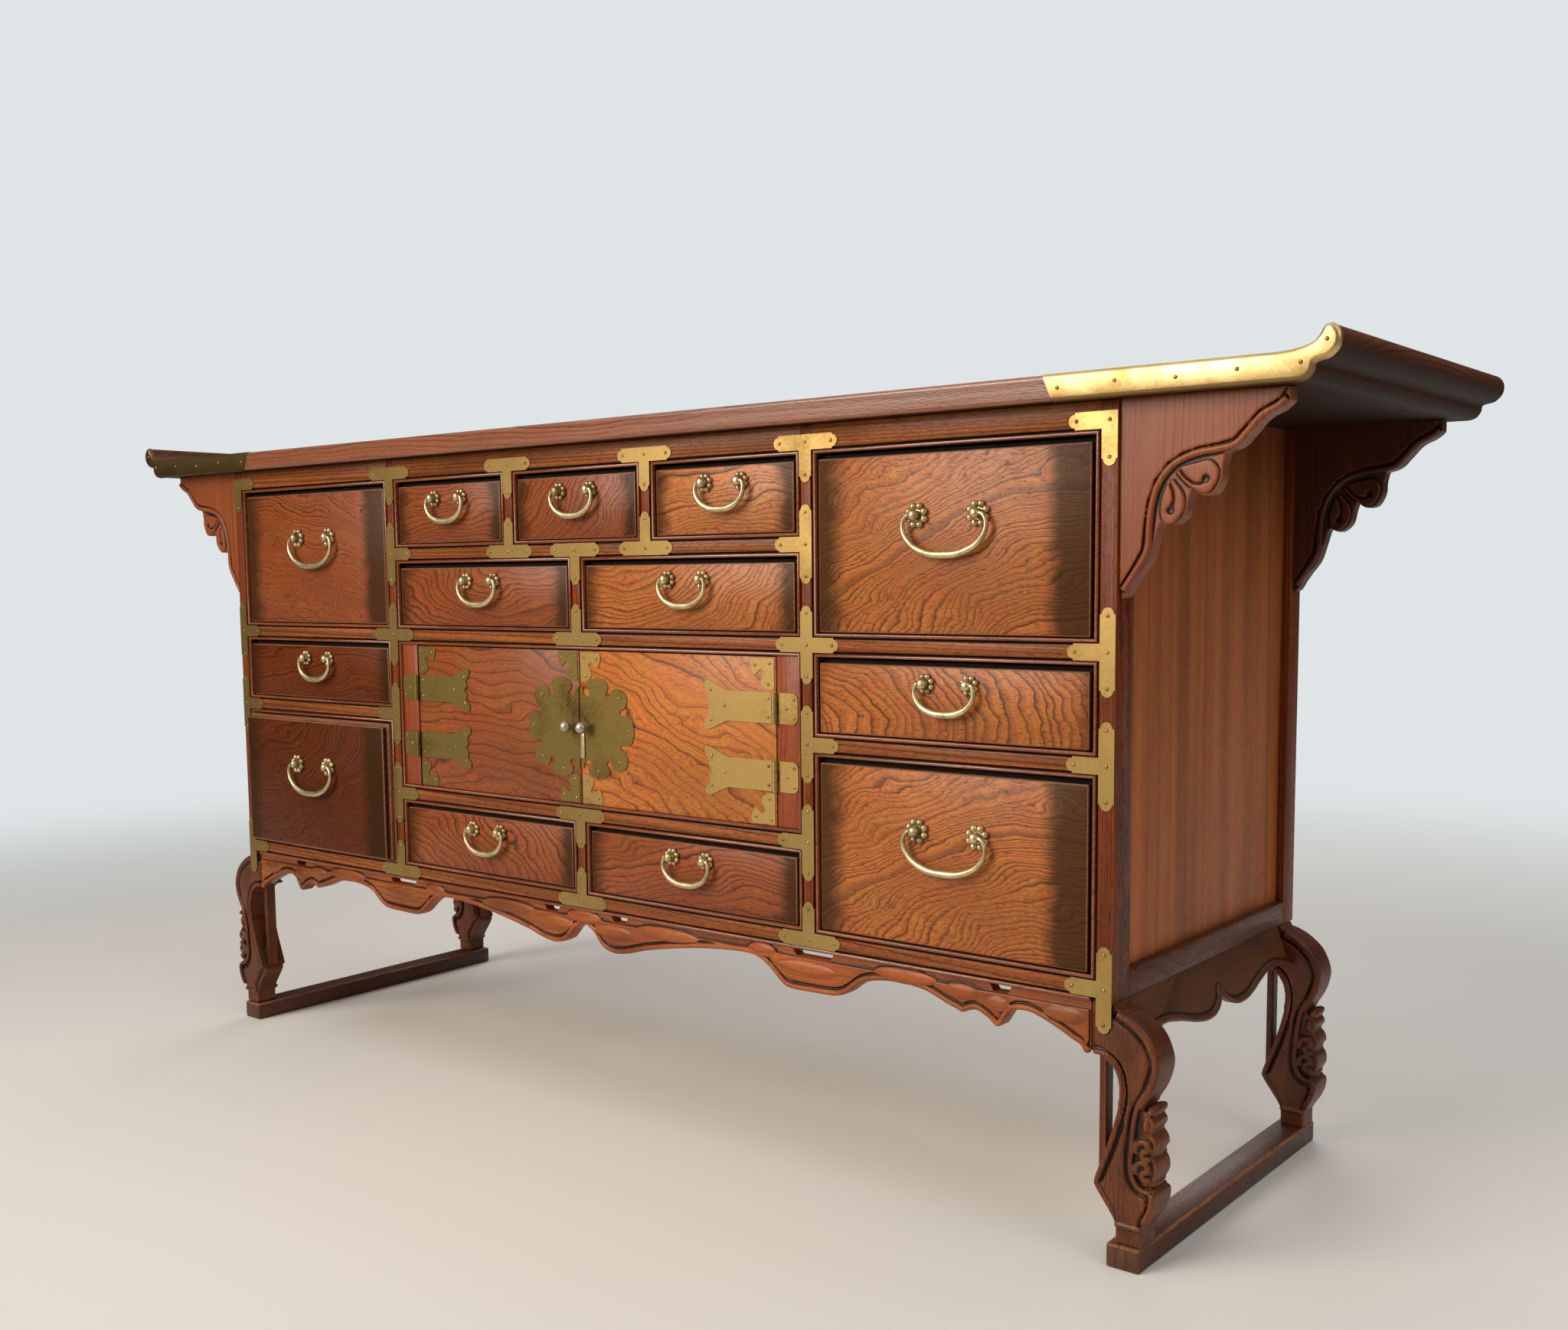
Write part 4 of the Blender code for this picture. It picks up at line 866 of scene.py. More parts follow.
# Side aprons: scalloped boards of brown elm between the front and rear legs, leaning outwards as they fall.
# A round rim is carved along the lower edge, and the board is set under the foot rail.
APRON_THICKNESS = 0.014
APRON_DROP = 0.054
APRON_SPLAY = 0.36           # sideways lean for each metre of fall
side_half = (side_back - front) / 2 - 0.040 - SEAT_GAP
side_lobe = [(0.0, 0.62), (0.042, 0.80), (0.13, 0.96), (0.24, 1.0), (0.37, 0.94), (0.53, 0.80),
             (0.69, 0.70), (0.85, 0.72), (1.0, 0.84)]
side_edge = [(-share, drop) for share, drop in reversed(side_lobe[1:])] + side_lobe
side_contour = [(share * side_half, -drop * APRON_DROP) for share, drop in side_edge]
side_outline = side_contour + [(side_half, 0.003), (-side_half, 0.003)]
side_rim = [(x, z + 0.0034) for x, z in side_contour]
side_parts = [sawn_board("blank", side_outline, 0.0025, APRON_THICKNESS),
              round_line("rim", side_rim, 0.0032, 0.0022)]
side_apron = carve("right_side_apron", side_parts, 0.3)
lean = Matrix(((0.0, -1.0, -APRON_SPLAY, half_width), (1.0, 0.0, 0.0, case_middle),
               (0.0, 0.0, 1.0, frame_low.z), (0.0, 0.0, 0.0, 1.0)))
side_apron.data.transform(lean)
side_apron_elm = lacquered_elm("carved_side_apron_elm", "Y", "Z", "#63371a", "#371b0d", ring=0.006,
                               heart=(0.0, 0.0, 0.2), wander=0.008, faint=0.95, late=0.05, relief=True)
fit(mirrored_copy(side_apron, "left_side_apron", True, False, case_middle), side_apron_elm, "case",
    "side_elm")
fit(side_apron, side_apron_elm, "case", "side_elm")

# Floor runners: two square bars of dark elm that tie the front and rear legs, which stand on them.
# Their upper edges are eased and paler: rubbed by feet, and lighter still as a painted highlight.
runner_elm = lacquered_elm("scuffed_brown_elm", "Y", "Z", "#56311d", "#2c170c", ring=0.012, faint=0.9,
                           late=0.02, gloss=0.45)
arris_wear_and_highlight = lacquered_elm("arris_elm_wear_and_painted_highlight", "Y", "Z", "#87552f", "#4a2a16", sweep=0.09, faint=0.9,
                             pore=0.8, blotch=0.5, gloss=0.5)
for name, side in SIDES:
    low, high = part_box(f"{name}_floor_runner")
    bar = board(f"{name}_foot_bar", low, high, 0.0024)
    fit(bar, runner_elm, "case", "dark_elm", f"{name}_floor_runner")
    # The bevels along the top take the paler arris colour: wear and a painted highlight.
    bar.data.materials.append(arris_wear_and_highlight)
    for polygon in bar.data.polygons:
        polygon.material_index = 1 if polygon.normal.z > 0.2 and polygon.normal.z < 0.98 else 0

# Brass on the top: a thin sheet folded over the front edge at both ends, with round-headed nails.
# Its inner end is cut on a slant, and it follows the step and the round nose.
SHEET = 0.0008
BRASS_START = 0.645


def aged_brass(name, bright, dull, shine, patch=0.035, dent=0.25, lower_edge_shade=None):
    """Sheet brass: rubbed patches shine, the rest is dulled by a thin brown tarnish that also roughens it.

    The last argument gives two heights: a brown painted shade deepens from the upper one down to the lower
    one.
    """
    material = bpy.data.materials.new(name)
    material.use_nodes = True
    tree = material.node_tree
    shader = tree.nodes["Principled BSDF"]
    place = add_node(tree, "ShaderNodeTexCoord").outputs["Object"]
    clouds = add_node(tree, "ShaderNodeTexNoise", {"Vector": place, "Scale": 1 / patch, "Detail": 4.0,
                                                   "Roughness": 0.6}).outputs[0]
    specks = add_node(tree, "ShaderNodeTexNoise", {"Vector": place, "Scale": 1 / 0.0035,
                                                   "Detail": 2.0}).outputs[0]
    both = add_node(tree, "ShaderNodeMath", {0: specks, 1: 0.35, 2: clouds},
                    operation="MULTIPLY_ADD").outputs[0]
    tarnish = add_node(tree, "ShaderNodeMapRange", {
        "Value": both, "From Min": 0.55, "From Max": 0.95}).outputs[0]
    colour = add_node(tree, "ShaderNodeMix", {
        0: tarnish, 6: hex_colour(bright), 7: hex_colour(dull)}, data_type="RGBA").outputs[2]
    # Painted shade: the sheet darkens towards its lower edge.
    if lower_edge_shade:
        height = add_node(tree, "ShaderNodeSeparateXYZ", {0: place}).outputs[2]
        shade_share = add_node(tree, "ShaderNodeMapRange", {
            "Value": height, "From Min": lower_edge_shade[0], "From Max": lower_edge_shade[1], "To Max": 0.85}).outputs[0]
        colour = add_node(tree, "ShaderNodeMix", {
            0: shade_share, 6: colour, 7: hex_colour("#5c4220")}, data_type="RGBA").outputs[2]
    roughness = add_node(tree, "ShaderNodeMapRange", {
        "Value": tarnish, "To Min": shine, "To Max": shine + 0.22}).outputs[0]
    dents = add_node(tree, "ShaderNodeBump", {"Height": clouds, "Strength": dent,
                                              "Distance": 0.0010}).outputs[0]
    for socket, source in (("Base Color", colour), ("Roughness", roughness), ("Normal", dents)):
        tree.links.new(source, shader.inputs[socket])
    shader.inputs["Metallic"].default_value = 1.0
    return material


def dome_nail(radius, height):
    """One round-headed nail as a low dome that faces the front."""
    bpy.ops.object.select_all(action="DESELECT")
    bpy.ops.mesh.primitive_uv_sphere_add(segments=12, ring_count=8, radius=radius,
                                         rotation=(math.pi / 2, 0.0, 0.0))
    bpy.ops.transform.resize(value=(1.0, height / radius, 1.0), center_override=(0.0, 0.0, 0.0))
    bpy.ops.object.transform_apply(location=True, rotation=True, scale=True)
    bpy.ops.object.mode_set(mode="EDIT")
    bpy.ops.mesh.select_all(action="SELECT")
    bpy.ops.mesh.bisect(plane_co=(0.0, 0.0003, 0.0), plane_no=(0.0, 1.0, 0.0), clear_outer=True,
                        use_fill=True)
    bpy.ops.object.mode_set(mode="OBJECT")
    return bpy.context.object


def set_out(name, model, places):
    """Copies of one piece, each moved to its place, joined into one object."""
    copies = []
    for place in places:
        copy = bpy.data.objects.new(name, model.data.copy())
        copy.data.transform(Matrix.Translation(place))
        bpy.context.scene.collection.objects.link(copy)
        copies.append(copy)
    return join(name, copies)


sheet_brass = aged_brass("yellow_sheet_brass", "#d9bd86", "#b69759", 0.34, patch=0.05, dent=0.6,
                         lower_edge_shade=(0.843, 0.823))
nail = dome_nail(0.0020, 0.0012)
nail_brass = aged_brass("darkened_brass_nails", "#b08f4d", "#6b5326", 0.34, patch=0.01)
edge_sheet = bpy.data.objects.new("right_top_edge_brass", top.data.copy())
bpy.context.scene.collection.objects.link(edge_sheet)
select_only(edge_sheet)
bpy.ops.object.mode_set(mode="EDIT")
bpy.ops.mesh.select_all(action="SELECT")
bpy.ops.mesh.bisect(plane_co=(BRASS_START, 0.0, (top_low.z + top_high.z) / 2), plane_no=(1.0, 0.0, 0.42),
                    clear_inner=True)
bpy.ops.mesh.select_all(action="SELECT")
bpy.ops.mesh.bisect(plane_co=(0.0, top_low.y + EDGE_ROUND + 0.0012, 0.0), plane_no=(0.0, 1.0, 0.0),
                    clear_outer=True)
bpy.ops.object.mode_set(mode="OBJECT")
skin = edge_sheet.modifiers.new("skin", "SOLIDIFY")
skin.thickness = SHEET
skin.offset = 1.0
bpy.ops.object.modifier_apply(modifier="skin")
# The left sheet takes a darker copy of the brass: painted shade, as it mirrors darker surroundings.
shaded_left_sheet_brass = aged_brass("sheet_brass_painted_shade", "#6e5d3a", "#4c3e22", 0.40, patch=0.05, dent=0.6,
                       lower_edge_shade=(0.843, 0.823))
fit(mirrored_copy(edge_sheet, "left_top_edge_brass", True, False, case_middle), shaded_left_sheet_brass, "case",
    "dark_elm")
fit(edge_sheet, sheet_brass, "case", "dark_elm")
edge_nails = []
nail_face = top_low.y - SHEET
for x, z in ((0.6600, 0.836), (0.7175, 0.838), (0.7760, 0.836), (0.8320, 0.838), (0.8870, 0.8390),
             (0.9085, 0.8560)):
    edge_nails += [(x, nail_face, z), (-x, nail_face, z)]
fit(set_out("top_edge_nails", nail, edge_nails), nail_brass, "case", "dark_elm")

# Junction plates: thin brass crosses, tees and angles nailed over every joint of the frame.
# Each arm has a small shoulder and ends in a round tongue.
PLATE_ARM = 0.042
PLATE_HALF = 0.0081
PLATE_SHEET = 0.0009
TONGUE_RADIUS = 0.0064
quarter = [math.radians(angle) for angle in range(90, -1, -15)]
tongue = [(-TONGUE_RADIUS, PLATE_HALF)]
tongue += [(TONGUE_RADIUS * (math.cos(angle) - 1), TONGUE_RADIUS * math.sin(angle)) for angle in quarter]


def joint_plate(centre, arms):
    """Outline of a plate with arms to the right, up, left or down, as a closed walk."""
    walk = []
    for arm, turn in (("right", 0), ("up", 1), ("left", 2), ("down", 3)):
        local = [(PLATE_HALF, -PLATE_HALF)]
        if arm in arms:
            local += [(PLATE_ARM + along, -across) for along, across in tongue]
            local += [(PLATE_ARM + along, across) for along, across in reversed(tongue[:-1])]
        cos, sin = ((1, 0), (0, 1), (-1, 0), (0, -1))[turn]
        walk += [(centre[0] + u * cos - v * sin, centre[1] + u * sin + v * cos) for u, v in local]
    return walk


outer_post = (strip_edge + half_width) / 2
junctions = []
for side, inward, outward in ((1, "left", "right"), (-1, "right", "left")):
    x = side * inner_post
    junctions += [(x, 5, ("left", "right", "down")), (x, 4, ("up", "down", inward)),
                  (x, 3, ("up", "down", "left", "right")), (x, 2, ("up", "down", outward)),
                  (x, 1, ("up", "down", inward)), (x, 0, ("up", "left", "right"))]
    x = side * outer_post
    junctions += [(x, 5, ("down", inward)), (x, 3, ("up", "down", inward)), (x, 2, ("up", "down", inward)),
                  (x, 0, ("up", "down", inward))]
    x = side * small_bay / 2
    junctions += [(x, 5, ("left", "right", "down")), (x, 4, ("left", "right", "up"))]
junctions += [(0.0, 4, ("left", "right", "down")), (0.0, 3, ("left", "right", "up")),
              (0.0, 1, ("left", "right", "down")), (0.0, 0, ("left", "right", "up"))]
plates = []
plate_nails = []
steps = {"right": (1, 0), "up": (0, 1), "left": (-1, 0), "down": (0, -1)}
for x, level, arms in junctions:
    z = rails[level]
    plates.append(sawn_board("plate", joint_plate((x, z), arms), front - PLATE_SHEET, front + 0.0003))
    plate_nails.append((x, front - PLATE_SHEET, z))
    for arm in arms:
        reach = PLATE_ARM - 0.008
        plate_nails.append((x + steps[arm][0] * reach, front - PLATE_SHEET, z + steps[arm][1] * reach))
plate_brass = aged_brass("aged_plate_brass", "#ae9159", "#83683a", 0.35, patch=0.08)
fit(join("junction_plates", plates), plate_brass, "case", "red_brown_elm")
fit(set_out("junction_nails", nail, plate_nails), nail_brass, "case", "red_brown_elm")

# Drawers: figured elm fronts smoked dark at both ends, on plain boxes of pale wood.
# Every front is cut from another part of the board, so no two arches are alike.
DRAWER_FRONT = 0.016
DRAWER_WALL = 0.009
DRAWER_FLOOR = 0.006
HANDLE_POST_REACH = 0.0135
FACE_SETBACK = 0.0042        # the face stops short of the opening at the right and above, where the near-black rebate shows as painted shade
FACE_DEPTH = 0.0075
WARM, DEEP, LEFT_SHADE = "#b06328", "#8f461a", "#692f0f"
# The middle and bottom left drawers have darker grounds: painted shade, as the light falls off towards the
# lower left.
figures = {
    "right_top_drawer": dict(ground=WARM, heart=(0.26, -0.20, 0.0), tilt=0.75, ring=0.0050),
    "right_middle_drawer": dict(ground=WARM, heart=(-0.165, -0.006, 0.0), tilt=0.45, ring=0.0058,
                                wander=0.020, faint=0.5),
    "right_bottom_drawer": dict(ground=WARM, heart=(0.24, -0.22, 0.0), tilt=0.75, ring=0.0050),
    "left_top_drawer": dict(ground=DEEP, heart=(-0.10, -0.34, 0.0), tilt=0.7, ring=0.0048, faint=0.80),
    "left_middle_drawer": dict(ground=LEFT_SHADE, heart=(0.20, -0.10, 0.0), tilt=0.45, ring=0.0055, faint=0.7,
                               sheen=0.10, coat=0.02),
    "left_bottom_drawer": dict(ground="#5c290e", heart=(-0.22, 0.30, 0.0), tilt=0.6, ring=0.0052,
                               faint=0.8, sheen=0.10, coat=0.02),
    "centre_small_left_drawer": dict(ground=DEEP, heart=(0.10, -0.09, 0.0), tilt=0.5, ring=0.0060),
    "centre_small_middle_drawer": dict(ground=DEEP, heart=(-0.12, 0.10, 0.0), tilt=0.6, ring=0.0060),
    "centre_small_right_drawer": dict(ground="#ba7038", heart=(0.06, -0.14, 0.0), tilt=0.7, ring=0.0062),
    "centre_upper_left_drawer": dict(ground=DEEP, heart=(0.16, 0.12, 0.0), tilt=0.5, ring=0.0065),
    "centre_upper_right_drawer": dict(ground=WARM, heart=(-0.05, 0.16, 0.0), tilt=0.7, ring=0.0065),
    "centre_lower_left_drawer": dict(ground=DEEP, heart=(-0.20, -0.05, 0.0), tilt=0.5, ring=0.0075),
    "centre_lower_right_drawer": dict(ground=DEEP, heart=(0.17, -0.16, 0.0), tilt=0.6, ring=0.0078),
}
worn_edge = lacquered_elm("worn_arris_elm", "X", "Z", "#7e4d30", "#56311d", faint=0.8, gloss=0.5)
bare_edge = lacquered_elm("bare_drawer_edge", "X", "Z", "#7d4f33", "#4d2f1e", faint=0.8, gloss=0.6,
                          coat=0.0)
for name in drawer_names:
    low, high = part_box(name)
    face = low.y + HANDLE_POST_REACH
    centre = Vector(((low.x + high.x) / 2, face, (low.z + high.z) / 2))
    large = high.z - low.z > rail_pitch
    bands = (0.026, 0.050) if large else (0.016, 0.028)
    if name == "right_middle_drawer":
        bands = (0.002, 0.014)
    figure = {"wander": 0.046, "sweep": 0.20, "waver": 0.0050, "faint": 0.52, "line_share": 1.3,
              **figures[name]}
    elm = lacquered_elm(f"figured_elm_{name}", "X", "Z", line="#210d05", middle=centre,
                        smoke=((high.x - low.x) / 2, "#33210f", *bands), **figure)
    fronted = board(f"{name}_front", (low.x + 0.0006, face, low.z + 0.0006),
                    (high.x - FACE_SETBACK, face + FACE_DEPTH + 0.0005, high.z - FACE_SETBACK), 0.0016)
    fit(fronted, elm, name, "figured_elm", name)
    fronted.data.materials.append(worn_edge)
    for polygon in fronted.data.polygons:
        polygon.material_index = 0 if max(abs(turn) for turn in polygon.normal) > 0.98 else 1
    inside_front = face + DRAWER_FRONT
    # The rebate behind the face is near-black: painted shade in the gap above and at the right of the face.
    # The bottom left drawer stands ajar and shows bare wood there.
    backing = board(f"{name}_front_rebate", (low.x, face + FACE_DEPTH, low.z),
                    (high.x, inside_front, high.z))
    fit(backing, bare_edge if name == "left_bottom_drawer" else groove_stain_and_shade, name, "figured_elm")
    walls = []
    for x in (low.x, high.x - DRAWER_WALL):
        walls.append(board("wall", (x, inside_front, low.z), (x + DRAWER_WALL, high.y, high.z)))
    walls.append(board("wall", (low.x + DRAWER_WALL, high.y - DRAWER_WALL, low.z),
                       (high.x - DRAWER_WALL, high.y, high.z)))
    walls.append(board("floor", (low.x + DRAWER_WALL, inside_front, low.z),
                       (high.x - DRAWER_WALL, high.y - DRAWER_WALL, low.z + DRAWER_FLOOR)))
    fit(join(f"{name}_box", walls), plain_elm, name, "figured_elm")

# Doors: two boards of boldly figured elm with eased edges, hung on brass straps.
# The left one is darker, painted shade as the light falls off to the left, and their arches are wider than
# those of the drawers.
for name, side in SIDES:
    low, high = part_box(f"{name}_door")
    door = board(f"{name}_door_board", low, high, 0.001)
    ground, heart = ("#b76929", (-0.22, -0.34, 0.0)) if side > 0 else ("#8b461b", (0.05, -0.30, 0.0))
    elm = lacquered_elm(f"figured_elm_{name}_door", "X", "Z", ground, "#3c1708", middle=(low + high) / 2,
                        heart=heart, tilt=0.8, wander=0.060, sweep=0.24, waver=0.0090, ripple=0.050,
                        ring=0.0150, line_share=0.6, faint=0.4)
    fit(door, elm, f"{name}_door", "figured_elm", f"{name}_door")

# Handles: a brass bail, thickest in the middle, hung between two rosettes of eight balls round a boss.
# The pins of the bail turn in the bosses, which are the posts fixed through the drawer front.
PIVOT_REACH = 0.009
POST_RADIUS = 0.0055
PIN_RADIUS = 0.0021
BAR_RADIUS = 0.0041
large_handle = dict(spacing=0.072, width=0.102, drop=0.040, rise=0.026, ring=0.0098, ball=0.0038)
small_handle = dict(spacing=0.052, width=0.074, drop=0.030, rise=0.017, ring=0.0078, ball=0.0030)


def rosette(handle):
    """One rosette about the origin: a turned boss, a disc under it and a ring of balls."""
    parts = []
    bpy.ops.object.select_all(action="DESELECT")
    bpy.ops.mesh.primitive_circle_add(vertices=24, radius=handle["ring"], rotation=(math.pi / 2, 0.0, 0.0))
    bpy.ops.object.transform_apply(location=True, rotation=True, scale=True)
    bpy.ops.object.mode_set(mode="EDIT")
    radius = handle["ring"]
    depth = 0.0
    for next_radius, next_depth in ((handle["ring"], 0.0012), (0.0052, 0.0016), (0.0042, 0.0035),
                                    (0.0042, 0.0062),
                                    (0.0054, 0.0072), (0.0056, 0.0090), (0.0052, 0.0112), (0.0038, 0.0127),
                                    (0.0016, 0.0134)):
        bpy.ops.mesh.extrude_edges_move(TRANSFORM_OT_translate={"value": (0.0, depth - next_depth, 0.0)})
        bpy.ops.transform.resize(value=(next_radius / radius, 1.0, next_radius / radius),
                                 center_override=(0.0, -next_depth, 0.0))
        radius, depth = next_radius, next_depth
    bpy.ops.mesh.edge_face_add()
    bpy.ops.mesh.select_all(action="SELECT")
    bpy.ops.mesh.normals_make_consistent(inside=False)
    bpy.ops.object.mode_set(mode="OBJECT")
    parts.append(bpy.context.object)
    for step in range(8):
        angle = math.radians(22.5 + 45 * step)
        centre = (handle["ring"] * math.cos(angle), -0.0022, handle["ring"] * math.sin(angle))
        parts.append(lump("ball", centre, (handle["ball"], handle["ball"], handle["ball"])))
    return join("rosette", parts)


def hanging_bail(handle):
    """One bail about the middle of its pivot line, bent from a bar that swells towards the middle."""
    reach = handle["width"] / 2 - PIN_RADIUS
    drop = handle["drop"]
    post_face = handle["spacing"] / 2 + POST_RADIUS
    half = [(post_face - 0.0025, 0.0), (post_face + 0.0012, 0.0),
            (reach - (reach - post_face) / 3, -0.07 * drop),
            (reach, -0.30 * drop), (0.88 * reach, -0.62 * drop), (0.52 * reach, -0.91 * drop), (0.0, -drop)]
    line = half + [(-x, z) for x, z in reversed(half[:-1])]
    curve = bpy.data.curves.new("bail", "CURVE")
    curve.dimensions = "3D"
    curve.bevel_depth = 1.0
    curve.bevel_resolution = 4
    curve.resolution_u = 8
    curve.use_fill_caps = True
    spline = curve.splines.new("BEZIER")
    spline.bezier_points.add(len(line) - 1)
    for point, (x, z) in zip(spline.bezier_points, line):
        point.co = (x, 0.0, z)
        point.handle_left_type = "AUTO"
        point.handle_right_type = "AUTO"
        swell = max(0.0, -z / drop) ** 1.5
        point.radius = PIN_RADIUS + (BAR_RADIUS - PIN_RADIUS) * swell
    piece = bpy.data.objects.new("bail", curve)
    bpy.context.scene.collection.objects.link(piece)
    select_only(piece)
    bpy.ops.object.convert(target="MESH")
    return bpy.context.object


handle_brass = aged_brass("antique_pale_brass", "#d6c69c", "#8a7850", 0.34, patch=0.02)
large_models = (large_handle, rosette(large_handle), hanging_bail(large_handle))
small_models = (small_handle, rosette(small_handle), hanging_bail(small_handle))
for name in drawer_names:
    low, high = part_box(name)
    bail = name.replace("_drawer", "_bail")
    tall = high.z - low.z > rail_pitch
    handle, rosette_model, bail_model = large_models if tall else small_models
    middle_x = (low.x + high.x) / 2
    face = low.y + HANDLE_POST_REACH
    pivot_z = (low.z - DRAWER_FOOT_GAP + high.z + DRAWER_HEAD_GAP) / 2 + handle["rise"]
    ends = [(middle_x + end * handle["spacing"] / 2, face, pivot_z) for end in (-1, 1)]
    fit(set_out(f"{name}_rosettes", rosette_model, ends), handle_brass, name, "figured_elm")
    fit(set_out(f"{name}_bail_bar", bail_model, [(middle_x, face - PIVOT_REACH, pivot_z)]), handle_brass,
        bail, "antique_brass", bail)
for model in (large_models[1], large_models[2], small_models[1], small_models[2]):
    bpy.data.objects.remove(model)

# Door brass: lobed lock plates with pale ball knobs, corner brackets, straps and jamb leaves, all nailed.
# The lock plates are scalloped and darker than the rest. A short latch covers the meeting edges.
LOCK_SHEET = 0.0012
BRACKET_SHEET = 0.0009
BRACKET_INSET = 0.0018       # bare wood left between a bracket and the door's edge
STRAP_SHEET = 0.0015
KNOB_RADIUS = 0.0074
KNOB_ASIDE = 0.0135
KNOB_RISE = 0.0015
lock_brass = aged_brass("olive_tarnished_brass", "#9c854a", "#4c3c1e", 0.36, patch=0.06)
# The left door's brass is a darker copy of the right's: painted shade, as the left side mirrors darker
# surroundings.
strap_brass = {"right": aged_brass("yellow_door_brass", "#c8a767", "#8d7341", 0.36, patch=0.09),
               "left": aged_brass("door_brass_painted_shade", "#97834a", "#5e4d28", 0.38, patch=0.07)}
knob_metal = aged_brass("pale_rubbed_metal", "#bdb6a6", "#8f8778", 0.40)
corner_shape = [(0.0, 0.0)] + curved([
    (33.0, 0.0), (34.0, 7.0), (29.0, 18.0), (23.2, 15.2), (18.6, 11.9), (13.4, 15.4), (17.6, 21.6),
    (18.4, 29.0), (10.0, 34.8), (0.0, 34.4)])
corner_nails = [(6.0, 5.5), (27.0, 7.5), (8.0, 28.5)]
# The upper half of a lock plate from the meeting edge: round lobes parted by keyhole cuts.
lock_shape = curved([
    (1.2, 49.5), (5.5, 49.0), (6.6, 43.0), (9.5, 38.9), (15.5, 38.9), (18.2, 43.0), (13.8, 47.4),
    (14.0, 54.0),
    (20.5, 59.0), (33.0, 61.4), (44.6, 57.2), (48.6, 50.5), (45.0, 43.6), (46.4, 38.6), (51.4, 38.2),
    (53.4, 43.4),
    (57.0, 48.4), (66.5, 49.1), (76.8, 44.0), (79.4, 35.5), (75.6, 26.6), (68.6, 23.4), (68.0, 18.9),
    (73.4, 17.6), (81.4, 18.0), (87.6, 12.4), (90.6, 0.0)])
lock_shape += [(x, -z) for x, z in reversed(lock_shape[:-1])]
lock_nails = [(30.0, 51.5), (66.0, 38.5), (82.0, 0.0), (66.0, -38.5), (30.0, -51.5)]
for name, side in SIDES:
    low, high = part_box(f"{name}_door")
    body = f"{name}_door"
    face = low.y
    meeting = low.x if side > 0 else high.x
    hinge_edge = high.x if side > 0 else low.x
    level = (low.z + high.z) / 2
    brackets = []
    nails = []
    for edge, run in ((meeting, side), (hinge_edge, -side)):
        for corner_z, fall in ((high.z, -1), (low.z, 1)):
            inset_x, inset_z = edge + run * BRACKET_INSET, corner_z + fall * BRACKET_INSET
            shape = [(inset_x + run * x / 1000, inset_z + fall * z / 1000) for x, z in corner_shape]
            brackets.append(sawn_board("bracket", shape, face - BRACKET_SHEET, face + 0.0002))
            for x, z in corner_nails:
                nails.append((inset_x + run * x / 1000, face - BRACKET_SHEET, inset_z + fall * z / 1000))
    fit(join(f"{name}_corner_brackets", brackets), strap_brass[name], body, "figured_elm")
    for strap in ("lower", "upper"):
        strap_low, strap_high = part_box(f"{name}_{strap}_strap")
        strap_z = (strap_low.z + strap_high.z) / 2
        plate_face = stile_face - STRAP_SHEET
        tip = strap_low.x if side > 0 else strap_high.x
        for x, z in ((0.0930, 0.0105), (0.0930, -0.0105), (0.0300, 0.0), (0.0100, 0.0170),
                     (0.0100, -0.0170)):
            nails.append((tip + side * x, plate_face, strap_z + z))
        for leaf in ("strap", "jamb_leaf"):
            stain_solid(f"{name}_{strap}_{leaf}", strap_brass[name])
    nails += [(side * x / 1000, face - LOCK_SHEET, level + z / 1000) for x, z in lock_nails]
    fit(set_out(f"{name}_door_nails", nail, nails), nail_brass, body, "figured_elm")
    outline = [(side * x / 1000, level + z / 1000) for x, z in lock_shape]
    plate = sawn_board(f"{name}_lobed_lock_plate", outline, face - LOCK_SHEET, face - 0.0003)
    fit(plate, lock_brass, body, "aged_brass", f"{name}_lock_plate")
    knob = lump(f"{name}_knob", (side * KNOB_ASIDE, face - 0.0125, level + KNOB_RISE),
                (KNOB_RADIUS, KNOB_RADIUS, KNOB_RADIUS))
    stem = lump("stem", (side * KNOB_ASIDE, face - 0.0040, level + KNOB_RISE), (0.0040, 0.0062, 0.0040))
    fit(join(f"{name}_ball_knob", [stem, knob]), knob_metal, body, "aged_brass")
latch = board("meeting_latch", (0.0012, stile_face - 0.0030, level - 0.037),
              (0.0085, stile_face - LOCK_SHEET, level - 0.003), 0.0007)
fit(latch, handle_brass, "right_door", "aged_brass")
leaf_nails = []
for name, side in SIDES:
    for strap in ("lower", "upper"):
        leaf_low, leaf_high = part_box(f"{name}_{strap}_jamb_leaf")
        leaf_z = (leaf_low.z + leaf_high.z) / 2
        outer = leaf_high.x if side > 0 else leaf_low.x
        for x, z in ((0.0050, 0.0105), (0.0050, -0.0105), (0.0150, 0.0)):
            leaf_nails.append((outer - side * x, stile_face - STRAP_SHEET, leaf_z + z))
fit(set_out("jamb_leaf_nails", nail, leaf_nails), nail_brass, "case", "red_brown_elm")
bpy.data.objects.remove(nail)

